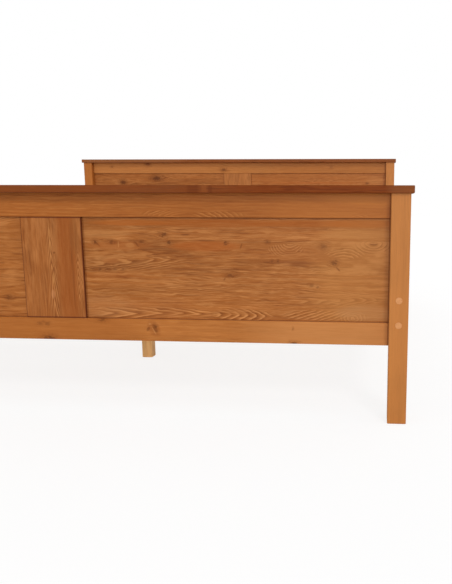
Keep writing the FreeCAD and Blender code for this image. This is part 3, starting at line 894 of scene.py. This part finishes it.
FOOT_BOTTOM_RAIL = replace(
    RAIL,
    name="foot_bottom_rail_pine", base=rgb(176, 106, 46), dark=rgb(140, 76, 26),
    light=rgb(198, 130, 68), depth=0.22, rings=0.25, streaks=0.3, fibres=0.3,
    knots=(
        Knot(0.1118, 0.2325, 0.0045, 0.75, 1.8),
        Knot(0.2415, 0.2165, 0.0045, 0.75, 1.0),
        Knot(-0.021, 0.1845, 0.0055, 1.0, 2.2),
        Knot(-0.042, 0.222, 0.004, 0.45, 1.8),
        Knot(-0.024, 0.2205, 0.004, 0.45, 1.8),
        Knot(0.5734, 0.1838, 0.0035, 0.95, 2.0),
        Knot(0.571, 0.218, 0.003, 0.4, 0.6),
        Knot(-0.41, 0.212, 0.006, 0.6),
        Knot(-0.66, 0.195, 0.005, 0.6),
    ),
    patches=(
        Patch(0.238, 0.2125, 0.024, 0.016, RUST, 0.4, 0.4, -1.08),
        Patch(0.224, 0.2115, 0.007, 0.004, BROWN, 0.6, 0.1, 1.0),
        Patch(0.2405, 0.2125, 0.0125, 0.0055, BROWN, 0.75, 0.2, -1.08),
        Patch(0.2375, 0.2075, 0.0125, 0.0018, TAN, 0.7, 0.1, -1.08),
        Patch(0.2285, 0.2235, 0.004, 0.003, TAN, 0.7, 0.1),
        Patch(0.0, 0.21, 0.22, EVERYWHERE, rgb(162, 92, 34), 0.6, 0.2),
        # Painted light: the right end is lighter, as the light falls from the right.
        Patch(0.8, 0.21, 0.36, EVERYWHERE, rgb(204, 136, 76), 0.65, 0.2),
        *post_painted_shade(0.2),
    ),
    seed=2.0,
)

# Muntins. The foot's has a pale cathedral left of its middle and a redder right side.
MUNTIN = PineFinish(
    "muntin_pine", Grain.UPRIGHT, rgb(174, 108, 52), rgb(110, 56, 18), rgb(188, 122, 66),
    pith=-0.02, depth=0.06, streaks=0.45,
)
FOOT_MUNTIN = replace(
    MUNTIN,
    name="foot_muntin_pine", base=rgb(151, 86, 35),
    figures=(
        Figure(0.335, -0.003, 0.13, 0.014, 0.005, 0.14, -0.003, 0.9, bow=0.7, core=0.002),
        Figure(0.33, 0.064, 0.07, 0.009, 0.0035, 0.12, 0.062, 0.7, bow=0.8, core=0.002),
    ),
    patches=(
        Patch(0.34, 0.035, 0.3, 0.026, rgb(150, 78, 24), 0.7, 0.2),
        Patch(0.36, 0.048, 0.12, 0.0035, BROWN, 0.5, 0.5),
        Patch(0.43, 0.055, 0.05, 0.012, rgb(134, 78, 32), 0.45, 0.3),
        Patch(0.42, -0.0045, 0.05, 0.0018, TAN, 0.7, 0.2),
        Patch(0.33, -0.001, 0.014, 0.004, TAN, 0.6, 0.2),
        Patch(0.292, -0.0045, 0.013, 0.0055, rgb(196, 130, 80), 0.6, 0.1),
        Patch(0.3906, 0.0045, 0.003, 0.004, BROWN, 0.7, 0.1),
        Patch(0.35, 0.001, 0.008, 0.0025, BROWN, 0.6, 0.1),
        *muntin_painted_shade(0.8),
    ),
)
HEAD_MUNTIN = replace(
    MUNTIN,
    name="head_muntin_pine",
    figures=(Figure(0.45, 0.01, 0.2, 0.03, 0.005, 0.2, 0.01, 0.5, bow=0.4),),
    patches=muntin_painted_shade(0.25),
    seed=HEAD_SHIFT,
)

# Panels of level boards. The foot's right one is busy in the middle, with arrowheads below.
PANEL = PineFinish(
    "panel_pine", Grain.LEVEL_UPRIGHT, rgb(158, 91, 36), rgb(112, 56, 14), rgb(190, 124, 66),
    depth=0.085, streaks=0.6, fibres=0.5, ripple=0.009, curl=0.005,
)
HEAD_KNOTS = (Knot(-0.4477, 0.6466, 0.011, 1.0, 2.0), Knot(-0.636, 0.6247, 0.01, 0.95, 1.4))
HEAD_PATCHES = (
    Patch(0.4, 0.65, 0.4, 0.035, rgb(168, 96, 34), 0.35, 0.2),
    Patch(0.4, 0.622, 0.3, 0.006, ORANGE, 0.5, 0.2),
    Patch(0.74, 0.636, 0.06, 0.02, rgb(186, 120, 62), 0.5, 0.2),
)
FOOT_RIGHT_PANEL = replace(
    PANEL,
    name="foot_right_panel_pine", light=rgb(195, 130, 72),
    boards=(
        Board(0.2755, 1.05, 0.0, 0.004, 0.15),
        Board(0.345, 1.01, 0.1, 0.006, 0.4),
        Board(0.4215, 0.95, 0.3925, 0.004, 0.8),
        Board(0.446, 1.05, 0.6, 0.004, 0.3),
        Board(0.6, 0.93, 0.1, 0.004, 0.2),
    ),
    streaks=0.54, fibres=0.55,
    knots=(
        Knot(0.2673, 0.4346, 0.0052, 0.6, 1.3),
        Knot(0.1018, 0.4156, 0.0035, 0.55),
        Knot(0.1418, 0.4159, 0.0035, 0.5, 2.2),
        Knot(0.2126, 0.4174, 0.0035, 0.5, 1.8),
        Knot(0.2804, 0.4165, 0.0042, 0.7, 1.2),
        Knot(0.4158, 0.4165, 0.0034, 0.85, 1.0),
        Knot(0.5128, 0.4182, 0.0028, 0.5),
        Knot(0.6414, 0.4094, 0.0055, 0.42),
        Knot(0.6664, 0.3723, 0.0048, 0.58),
        Knot(0.5221, 0.3748, 0.0026, 0.5, 1.0),
        Knot(0.5365, 0.3742, 0.0026, 0.5, 1.0),
        Knot(0.4229, 0.3417, 0.0045, 0.48, 1.9),
        Knot(0.6139, 0.3192, 0.003, 0.35, 1.8),
        Knot(0.6276, 0.3159, 0.003, 0.38, 1.3),
        *(Knot(0.092 + 0.0185 * step, 0.3522, 0.0026, 0.42, 1.6) for step in range(5)),
    ),
    figures=(
        Figure(
            0.235, 0.2495, 0.17, 0.0165, 0.0075, -0.222, 0.2485, 1.0,
            bow=0.3, core=0.0027, waver=0.6,
        ),
        Figure(
            0.45, 0.248, 0.075, 0.0165, 0.0096, -0.055, 0.2465, 1.0,
            bow=0.9, core=0.003, waver=1.0,
        ),
        Figure(0.63, 0.25, 0.09, 0.014, 0.0065, 0.1, 0.268, 0.9, bow=0.6, waver=1.6),
        Figure(
            0.7111, 0.2455, 0.035, 0.014, 0.0045, 0.7111, 0.242, 0.7, squeeze=0.6, core=0.001
        ),
        Figure(0.69, 0.394, 0.05, 0.012, 0.0052, 0.69, 0.372, 0.9, squeeze=0.6),
        Figure(0.755, 0.407, 0.045, 0.016, 0.005, 0.757, 0.414, 0.9, squeeze=0.5, waver=1.8),
        Figure(0.555, 0.4, 0.045, 0.014, 0.0052, 0.565, 0.424, 0.7, squeeze=0.9, waver=2.8),
        Figure(0.636, 0.36, 0.03, 0.01, 0.004, 0.636, 0.345, 0.7, squeeze=0.4, waver=1.2),
        Figure(0.66, 0.29, 0.12, 0.022, 0.0045, 0.35, 0.282, 0.6, bow=0.4, lean=0.05),
        Figure(0.33, 0.315, 0.1, 0.02, 0.0045, 0.1, 0.318, 0.5, bow=0.4),
        Figure(0.2, 0.37, 0.13, 0.02, 0.0045, -0.1, 0.372, 0.7, bow=0.3, lean=0.05),
    ),
    patches=(
        Patch(0.365, 0.408, 0.1, 0.014, ORANGE, 0.55, 0.2),
        Patch(0.19, 0.461, 0.11, 0.008, rgb(172, 93, 30), 0.7, 0.2),
        Patch(0.4, 0.461, 0.2, 0.011, rgb(156, 80, 16), 0.75, 0.3),
        Patch(0.62, 0.461, 0.16, 0.009, rgb(162, 84, 16), 0.7, 0.3),
        Patch(0.1, 0.4355, 0.1, 0.012, rgb(176, 116, 62), 0.6, 0.3),
        Patch(0.72, 0.4365, 0.1, 0.011, rgb(186, 124, 66), 0.6, 0.2),
        Patch(0.16, 0.408, 0.09, 0.012, rgb(164, 90, 36), 0.5, 0.2),
        Patch(0.187, 0.409, 0.013, 0.007, TAN, 0.45, 0.2),
        Patch(0.1588, 0.411, 0.0095, 0.0018, TAN, 0.6, 0.1, 1.6),
        Patch(0.47, 0.4, 0.012, 0.0035, RUST, 0.5, 0.3),
        Patch(0.515, 0.3735, 0.11, 0.0055, BROWN, 0.5, 0.6),
        Patch(0.47, 0.354, 0.1, 0.003, BROWN, 0.6, 0.5),
        Patch(0.33, 0.3545, 0.14, 0.003, BROWN, 0.55, 0.6),
        Patch(0.14, 0.336, 0.09, 0.008, RUST, 0.3, 0.4),
        # Painted light: the right end is lighter, as the light falls from the right.
        Patch(0.76, 0.33, 0.17, 0.2, rgb(186, 122, 60), 0.5, 0.2),
        Patch(0.73, 0.461, 0.1, 0.011, rgb(172, 94, 28), 0.6, 0.2),
        Patch(0.1, 0.262, 0.12, 0.03, rgb(180, 122, 74), 0.3, 0.2),
        Patch(0.25, 0.262, 0.09, 0.03, rgb(160, 94, 46), 0.3, 0.2),
        Patch(0.74, 0.256, 0.08, 0.022, rgb(188, 134, 84), 0.4, 0.2),
        Patch(0.58, 0.388, 0.11, 0.025, rgb(156, 88, 38), 0.3, 0.3),
        Patch(0.139, 0.3716, 0.024, 0.0075, rgb(174, 106, 52), 0.6, 0.1),
        stroke(0.1065, 0.413, 0.012, -0.75),
        stroke(0.2025, 0.412, 0.01, -0.87),
        stroke(0.3683, 0.421, 0.024),
        stroke(0.3186, 0.4341, 0.012),
        stroke(0.4508, 0.4095, 0.008, 1.2),
        stroke(0.4099, 0.3317, 0.005, 1.0),
        stroke(0.6757, 0.3577, 0.008, -0.8),
        stroke(0.7565, 0.4148, 0.01),
        *panel_painted_shade(PANEL_MIDDLE, FOOT_PANEL_TOP),
    ),
    seed=1.0,
)


@dataclass
class Timber:
    """Every timber finish of the bed and the nodes that wear it.

    The draws are the ranges of its random numbers: for each board its width, pith offset, tone
    and ring strength, for the arcs on it their offset, half length, spacing, height on the
    board, strength, bow and lean, and for each scattered knot its darkness and stretch.
    """

    seed: int = 7
    board_draws: tuple[Span, ...] = ((0.03, 0.085), (-0.25, 0.25), (0.94, 1.06), (0.15, 0.6))
    arc_draws: tuple[Span, ...] = (
        (-0.25, 0.25), (0.08, 0.2), (0.0045, 0.007), (0.2, 1.8), (0.4, 0.8), (0.3, 0.6),
        (-0.05, 0.05),
    )
    knot_draws: tuple[Span, ...] = ((0.45, 0.85), (1.2, 1.9))

    def finishes(self) -> list[tuple[PineFinish, list[str]]]:
        """Pairs each finish with its nodes.

        Returns:
            A list of finishes, each with the names of its CAD nodes.
        """
        plain_knots = self.scatter(61.0, 6, (-0.75, 0.75), (0.19, 0.23), (0.003, 0.007))
        plain_rail = replace(RAIL, name="head_bottom_rail_pine", seed=61.0, knots=plain_knots)
        head_right = self.drawn_panel("head_right", 97.0, PANEL_MIDDLE, 1.06, (), HEAD_PATCHES)
        head_left = self.drawn_panel("head_left", 83.0, -PANEL_MIDDLE, 0.95, HEAD_KNOTS)
        right_post = self.post("right", POST_MIDDLE, rgb(186, 118, 58))
        left_post = self.post("left", -POST_MIDDLE, rgb(172, 103, 44))
        beam = self.bare("beam_pine", Grain.LONG_UPRIGHT, 17.0)
        # The legs stand in shade under the bed, so their pine is painted 1.4 times lighter:
        # painted light.
        leg = self.bare("leg_pine", Grain.UPRIGHT, 19.0, 1.4)
        return [
            (FOOT_CAP, ["foot_cap"]),
            (HEAD_CAP, ["head_cap"]),
            (FOOT_TOP_RAIL, ["foot_top_rail"]),
            (HEAD_TOP_RAIL, ["head_top_rail"]),
            (FOOT_BOTTOM_RAIL, ["foot_bottom_rail"]),
            (plain_rail, ["head_bottom_rail"]),
            (FOOT_MUNTIN, ["foot_muntin"]),
            (HEAD_MUNTIN, ["head_muntin"]),
            (FOOT_RIGHT_PANEL, ["foot_panel_right"]),
            (self.drawn_panel("foot_left", 71.0, -PANEL_MIDDLE, 1.0), ["foot_panel_left"]),
            (head_left, ["head_panel_left"]),
            (head_right, ["head_panel_right"]),
            (right_post, ["foot_post_right", "head_post_right"]),
            (left_post, ["foot_post_left", "head_post_left"]),
            (self.side_rail("right", 13.0), ["side_rail_right"]),
            (self.side_rail("left", 29.0), ["side_rail_left"]),
            (self.bare("slat_pine", Grain.LEVEL_FLAT, 5.0), SLATS),
            (beam, ["centre_beam", "slat_ledge_left", "slat_ledge_right"]),
            (leg, ["foot_support_leg", "head_support_leg"]),
        ]

    def drawn_panel(
        self,
        name: str,
        seed: float,
        middle: float,
        tone: float,
        knots: tuple[Knot, ...] = (),
        patches: tuple[Patch, ...] = (),
    ) -> PineFinish:
        """A panel of level boards in an order of their own.

        Args:
            name: The panel's end and side.
            seed: Starts its random draws.
            middle: The panel's middle along the grain.
            tone: How light it is.
            knots: Knots that the photograph shows.
            patches: Stretches of another colour.

        Returns:
            The finish.
        """
        draw = random.Random(self.seed + seed)
        panel_top = FOOT_PANEL_TOP if name.startswith("foot") else HEAD_PANEL_TOP
        boards, figures = [], []
        edge = PANEL_BOTTOM
        while edge < panel_top:
            width, pith, shade, rings = (draw.uniform(*ends) for ends in self.board_draws)
            low, edge = edge, edge + width
            boards.append(Board(edge, tone * shade, edge + pith, 0.004, rings))
            offset, length, spacing, height, strength, bow, lean = (
                draw.uniform(*ends) for ends in self.arc_draws
            )
            spot, half = middle + offset, (edge - low) / 2
            nest = (spot, low + half, length, half * 0.9, spacing, spot - 0.3, low + half * height)
            figures.append(Figure(*nest, strength, bow=bow, lean=lean))
        reach = (middle - 0.33, middle + 0.33)
        knot_heights = (0.25, panel_top - (0.1 if knots else 0.02))
        return replace(
            PANEL,
            name=f"{name}_panel_pine",
            boards=tuple(boards),
            knots=knots + self.scatter(seed, 10, reach, knot_heights, (0.003, 0.007)),
            figures=tuple(figures),
            patches=patches + panel_painted_shade(middle, panel_top),
            seed=seed,
        )

    def post(self, side: str, middle: float, base: Colour) -> PineFinish:
        """Smooth orange pine with quiet grain.

        Args:
            side: Which side of the bed it stands on.
            middle: The posts' middle across the bed.
            base: Its main colour.

        Returns:
            The finish.
        """
        dark, pale = (tuple(share * factor for share in base) for factor in (0.72, 1.16))
        return PineFinish(
            f"{side}_post_pine", Grain.UPRIGHT, base, dark, pale,
            pith=middle - 0.2, depth=1.3, ring_width=0.005, rings=0.15, streaks=0.3,
            fibres=0.2, mottle=0.13, seed=31.0 + middle,
            patches=(Patch(0.22, middle, 0.12, EVERYWHERE, pale, 0.4, 0.1),),
        )

    def side_rail(self, side: str, seed: float) -> PineFinish:
        """A side rail, with knots along both faces.

        Args:
            side: Which side of the bed it lies on.
            seed: Starts its random draws.

        Returns:
            The finish.
        """
        return replace(
            RAIL,
            name=f"{side}_side_rail_pine",
            grain=Grain.LONG_UPRIGHT,
            pith=0.26,
            depth=1.0,
            rings=0.4,
            streaks=0.45,
            seed=seed,
            knots=self.scatter(seed, 12, (-0.98, 0.98), (0.195, 0.33), (0.004, 0.009)),
            figures=(
                Figure(-0.4, 0.27, 0.5, 0.035, 0.006, -1.4, 0.27, 0.7, bow=0.12),
                Figure(0.5, 0.24, 0.35, 0.03, 0.006, -0.2, 0.24, 0.6, bow=0.15),
            ),
        )

    def bare(self, name: str, grain: Grain, seed: float, paler: float = 1.0) -> PineFinish:
        """Pale planed pine without stain.

        Args:
            name: The finish's name.
            grain: Which way its fibres run.
            seed: Shifts its noise.
            paler: How much lighter this piece is painted than the others, as painted light for a
                piece that stands in shade.

        Returns:
            The finish.
        """
        tones = (rgb(216, 168, 110), rgb(188, 130, 70), rgb(230, 190, 138))
        colours = (tuple(min(1.0, share * paler) for share in tone) for tone in tones)
        return PineFinish(
            name, grain, *colours,
            pith=0.35, depth=0.3, streaks=0.35, mottle=0.2, roughness=0.55, seed=seed,
        )

    def scatter(
        self, seed: float, count: int, along: Span, across: Span, radius: Span
    ) -> tuple[Knot, ...]:
        """Knots at random places.

        Args:
            seed: Starts the random draws.
            count: How many knots.
            along, across, radius: The range of each.

        Returns:
            The knots.
        """
        draw = random.Random(self.seed * 100 + seed)
        ranges = (along, across, radius, *self.knot_draws)
        return tuple(Knot(*(draw.uniform(*ends) for ends in ranges)) for _ in range(count))

    def dress(self) -> None:
        """Gives each node its finish."""
        for finish, nodes in self.finishes():
            paint(nodes, finish.make())


def paint(nodes: Iterable[str], material: bpy.types.Material) -> None:
    """Assigns a material to every slot of some CAD nodes.

    Args:
        nodes: The nodes' names.
        material: What they wear.
    """
    for name in nodes:
        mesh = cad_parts[name].data
        mesh.materials.clear()
        mesh.materials.append(material)
        log.info("%s wears %s", name, material.name)


# Ironmongery
# -----------


@dataclass
class Screws:
    """Countersunk wood screws with cross recesses, seated in timber or sheet steel."""

    head_radius: float = 0.004
    rim: float = 0.0003
    sink: float = 0.0026
    recess_arm: float = 0.0024
    recess_half: float = 0.0006
    recess_depth: float = 0.0013
    proud: float = 0.0003
    throat_share: float = 0.45
    floor_share: float = 0.72
    sides: int = 28

    def _outlines(self, turn: float) -> tuple[list[Vector], list[Vector]]:
        """Draws the head's face from above.

        Args:
            turn: How far the recess is turned, in radians.

        Returns:
            The round edge of the face and the cross cut into it.
        """
        circle = [
            Vector((math.cos(angle), math.sin(angle), 0.0)) * (self.head_radius - self.rim)
            for angle in (math.tau * step / self.sides for step in range(self.sides))
        ]
        arm, half = self.recess_arm, self.recess_half
        quarter = [(arm, -half), (arm, half), (half, half)]
        cross = []
        for step in range(4):
            spin = Matrix.Rotation(step * math.pi / 2 + turn, 3, "Z")
            cross += [spin @ Vector((x, y, 0.0)) for x, y in quarter]
        return circle, cross

    def add_head(self, mesh: bmesh.types.BMesh, seat: Matrix, turn: float) -> None:
        """Adds one screw head.

        Args:
            mesh: Where it goes.
            seat: The place and direction of the head: its Z points out of the surface.
            turn: How far the recess is turned, in radians.
        """
        circle, cross = self._outlines(turn)
        lift = Vector((0.0, 0.0, self.proud))
        face = [mesh.verts.new(seat @ (point + lift)) for point in circle + cross]
        for corners in tessellate_polygon((circle, cross)):
            mesh.faces.new([face[corner] for corner in corners])
        outer, inner = face[: len(circle)], face[len(circle) :]
        edge = [point * (self.head_radius / (self.head_radius - self.rim)) for point in circle]
        rim = [mesh.verts.new(seat @ point) for point in edge]
        drop = Vector((0.0, 0.0, self.sink))
        throat = [mesh.verts.new(seat @ (point * self.throat_share - drop)) for point in edge]
        floor_lift = Vector((0.0, 0.0, self.proud - self.recess_depth))
        floor = [mesh.verts.new(seat @ (point * self.floor_share + floor_lift)) for point in cross]
        for upper, lower in ((outer, rim), (rim, throat), (inner, floor)):
            self._wall(mesh, upper, lower)
        mesh.faces.new(floor)
        mesh.faces.new(throat[::-1])

    @staticmethod
    def _wall(mesh: bmesh.types.BMesh, upper: list, lower: list) -> None:
        """Adds faces between two loops.

        Args:
            mesh: Where they go.
            upper, lower: The corners of each loop, as many in both.
        """
        count = len(upper)
        for step in range(count):
            after = (step + 1) % count
            mesh.faces.new((upper[step], lower[step], lower[after], upper[after]))

    def piece(
        self, name: str, seats: Sequence[Matrix], finish: bpy.types.Material, seed: int
    ) -> bpy.types.Object:
        """Builds a group of screws as one piece that rides on the bed.

        Args:
            name: The piece's name.
            seats: Where each screw sits.
            finish: Its material.
            seed: Starts the draws that turn each recess.

        Returns:
            The piece.
        """
        draw = random.Random(seed)
        mesh = bmesh.new()
        for seat in seats:
            self.add_head(mesh, seat, draw.uniform(0.0, math.pi / 2))
        bmesh.ops.recalc_face_normals(mesh, faces=mesh.faces)
        data = bpy.data.meshes.new(name)
        mesh.to_mesh(data)
        mesh.free()
        data.materials.append(finish)
        piece = bpy.data.objects.new(name, data)
        bpy.context.scene.collection.objects.link(piece)
        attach(piece, "root")
        log.info("%s: %d screws", name, len(seats))
        return piece


def facing(place: Point, outward: Point) -> Matrix:
    """A seat at a place whose Z points outward."""
    turn = Vector(outward).to_track_quat("Z", "Y").to_matrix().to_4x4()
    return Matrix.Translation(Vector(place)) @ turn


@dataclass
class Ironmongery:
    """Bolts, cross nuts, hangers and the wood screws that hold slats, ledges and hangers."""

    slat_screw_inset: float = 0.016
    ledge_screw_every: int = 2
    hanger_screw_inset: float = 0.01
    hanger_screw_spacing: float = 0.024
    hanger_sheet: float = 0.002
    zinc: SteelFinish = SteelFinish(
        "zinc_plate", rgb(186, 186, 184), rgb(140, 141, 140), 0.004, 0.34
    )
    sheet: SteelFinish = SteelFinish(
        "galvanised_sheet", rgb(172, 174, 176), rgb(128, 131, 134), 0.009, 0.45
    )
    screws: Screws = field(default_factory=Screws)

    def slat_seats(self) -> list[Matrix]:
        """Finds where the slats are screwed down.

        Returns:
            One seat at each end of every slat, over its ledge.
        """
        seats = []
        for slat in SLATS:
            low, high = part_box(slat)
            along = (low.y + high.y) / 2
            for across in (low.x + self.slat_screw_inset, high.x - self.slat_screw_inset):
                seats.append(facing((across, along, high.z), (0, 0, 1)))
        return seats

    def ledge_seats(self) -> list[Matrix]:
        """Finds where the ledges are screwed to the side rails.

        Returns:
            Seats on the inner faces of both ledges, in every second gap between slats.
        """
        seats = []
        for side, outward in (("left", 1), ("right", -1)):
            low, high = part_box(f"slat_ledge_{side}")
            face = high.x if outward > 0 else low.x
            for first, second in list(zip(SLATS, SLATS[1:]))[:: self.ledge_screw_every]:
                along = (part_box(first)[1].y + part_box(second)[0].y) / 2
                place = (face, along, (low.z + high.z) / 2)
                seats.append(facing(place, (outward, 0, 0)))
        return seats

    def hanger_seats(self) -> list[Matrix]:
        """Finds where the beam hangers are screwed to the bottom rails.

        Returns:
            Four seats on the ears of each hanger.
        """
        seats = []
        for end, inward in (("foot", 1), ("head", -1)):
            low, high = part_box(f"{end}_beam_hanger")
            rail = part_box(f"{end}_bottom_rail")
            face = rail[1].y if inward > 0 else rail[0].y
            plate = face + inward * self.hanger_sheet
            middle = (rail[0].z + rail[1].z) / 2
            for across in (low.x + self.hanger_screw_inset, high.x - self.hanger_screw_inset):
                for step in (-0.5, 0.5):
                    place = (across, plate, middle + step * self.hanger_screw_spacing)
                    seats.append(facing(place, (0, inward, 0)))
        return seats

    def build(self) -> None:
        """Makes every screw and dresses the steel nodes."""
        zinc = self.zinc.make()
        paint(["foot_bed_bolts", "head_bed_bolts", "side_rail_barrel_nuts"], zinc)
        paint(["foot_beam_hanger", "head_beam_hanger"], self.sheet.make())
        self.screws.piece("slat_screws", self.slat_seats(), zinc, 3)
        self.screws.piece("ledge_screws", self.ledge_seats(), zinc, 4)
        self.screws.piece("hanger_screws", self.hanger_seats(), zinc, 5)


@dataclass
class Plugs:
    """The wooden plugs over the bolt heads."""

    finish: EndGrainFinish = EndGrainFinish(
        "plug_end_grain", rgb(214, 147, 88), rgb(180, 110, 56)
    )

    def dress(self) -> None:
        """Gives both groups of plugs their finish."""
        paint(["foot_bolt_plugs", "head_bolt_plugs"], self.finish.make())


# Studio
# ------


@dataclass(frozen=True)
class Lamp:
    """A distant soft lamp: its name, strength, where it hangs and how wide it looks."""

    name: str
    strength: float
    towards: Point
    spread: float

    def hang(self) -> None:
        """Adds the lamp to the scene."""
        data = bpy.data.lights.new(self.name, "SUN")
        data.energy = self.strength
        data.angle = math.radians(self.spread)
        lamp = bpy.data.objects.new(self.name, data)
        lamp.rotation_mode = "QUATERNION"
        lamp.rotation_quaternion = Vector(self.towards).to_track_quat("Z", "Y")
        bpy.context.scene.collection.objects.link(lamp)


@dataclass
class Studio:
    """The white floor, the lamps and the camera."""

    floor_half: float = 30.0
    floor_cells: int = 24
    floor_dust: float = 0.02
    floor_grey: float = 0.8
    floor_glow: float = 0.82
    shadow_depth: float = 0.23
    sky_strength: float = 0.58
    lamps: tuple[Lamp, ...] = (
        Lamp("key", 0.75, (0.32, -0.75, 0.52), 12.0),
        Lamp("front_fill", 0.97, (0.05, -1.0, 0.09), 30.0),
        Lamp("right_fill", 0.4, (0.97, -0.2, 0.12), 40.0),
        Lamp("back_fill", 0.5, (-0.35, 0.9, 0.35), 45.0),
    )

    def lay_floor(self) -> None:
        """Lays a pale floor whose shadow stays soft and whose lit part is white to the camera."""
        mesh = bmesh.new()
        cells = {"x_segments": self.floor_cells, "y_segments": self.floor_cells}
        bmesh.ops.create_grid(mesh, size=self.floor_half, **cells)
        data = bpy.data.meshes.new("floor")
        mesh.to_mesh(data)
        mesh.free()
        floor = bpy.data.objects.new("floor", data)
        bpy.context.scene.collection.objects.link(floor)
        data.materials.append(self._floor_paint())

    def _floor_paint(self) -> bpy.types.Material:
        """Matt white paint, which for the camera, reflections and glass glows under its shadows.

        Returns:
            The paint.
        """
        recipe = Recipe.of_material("floor_paint")
        dust = 1.0 - recipe.cloud(recipe.here(), DUST) * self.floor_dust
        coats = [
            recipe.add("ShaderNodeBsdfDiffuse", {}, {"Color": recipe.scaled((grey,) * 3, dust)})
            for grey in (self.floor_grey, self.shadow_depth)
        ]
        white = {"Color": (1.0, 1.0, 1.0, 1.0), "Strength": self.floor_glow}
        glow = recipe.add("ShaderNodeEmission", {}, white)
        shown = recipe.add("ShaderNodeAddShader", {}, {0: coats[1].outputs[0], 1: glow.outputs[0]})
        seen = recipe.light_rays("Is Camera Ray", "Is Glossy Ray", "Is Transmission Ray")
        feeds = {0: seen, 1: coats[0].outputs[0], 2: shown.outputs[0]}
        mixed = recipe.add("ShaderNodeMixShader", {}, feeds)
        recipe.add("ShaderNodeOutputMaterial", {}, {"Surface": mixed.outputs[0]})
        return recipe.owner

    def fill_sky(self) -> None:
        """Even light from all round, which the camera sees as white."""
        world = bpy.data.worlds.new("studio")
        bpy.context.scene.world = world
        recipe = Recipe(world)
        seen = recipe.light_rays("Is Camera Ray", "Is Transmission Ray")
        strength = seen * (1.0 - self.sky_strength) + self.sky_strength
        inputs = {"Color": (1.0, 1.0, 1.0, 1.0), "Strength": strength}
        sky = recipe.add("ShaderNodeBackground", {}, inputs)
        recipe.add("ShaderNodeOutputWorld", {}, {"Surface": sky.outputs[0]})

    def build(self) -> None:
        """Sets up floor, light and camera."""
        self.lay_floor()
        self.fill_sky()
        for lamp in self.lamps:
            lamp.hang()
        PhotoCamera().build()
        bpy.context.scene.view_settings.view_transform = "Standard"


@dataclass
class PhotoCamera:
    """The camera that took the photograph, as found from its straight edges."""

    width: int = 452
    height: int = 584
    focal: float = 661.55
    centre: tuple[float, float] = (328.34, 324.95)
    place: Point = (0.77177, -2.5610, 0.50094)
    yaw: float = -0.0777
    pitch: float = -0.1779
    roll: float = 0.0033
    sensor: float = 36.0
    clip_end: float = 200.0

    def axes(self) -> tuple[Vector, Vector, Vector]:
        """Works out how the camera is turned.

        Returns:
            Its right, up and backward directions.
        """
        yaw, pitch = self.yaw, self.pitch
        forward = Vector(
            (math.sin(yaw) * math.cos(pitch), math.cos(yaw) * math.cos(pitch), math.sin(pitch))
        )
        right = Vector((math.cos(yaw), -math.sin(yaw), 0.0))
        up = right.cross(forward)
        spin = Matrix.Rotation(-self.roll, 3, forward)
        return spin @ right, spin @ up, -forward

    def build(self) -> bpy.types.Object:
        """Makes it the scene's camera.

        Returns:
            The camera.
        """
        data = bpy.data.cameras.new("photo_camera")
        data.sensor_width = self.sensor
        longest = max(self.width, self.height)
        data.lens = self.focal / longest * self.sensor
        data.shift_x = (self.width / 2 - self.centre[0]) / longest
        data.shift_y = (self.centre[1] - self.height / 2) / longest
        data.clip_end = self.clip_end
        camera = bpy.data.objects.new("photo_camera", data)
        camera.matrix_world = Matrix.Translation(Vector(self.place)) @ (
            Matrix(self.axes()).transposed().to_4x4()
        )
        bpy.context.scene.collection.objects.link(camera)
        bpy.context.scene.camera = camera
        return camera


# The whole bed
# -------------


def main() -> None:
    """Dresses the bed and sets up the studio."""
    logging.basicConfig(level=logging.INFO, format="%(name)s: %(message)s")
    Studio().build()
    Timber().dress()
    Plugs().dress()
    Ironmongery().build()


if __name__ == "__main__":
    main()
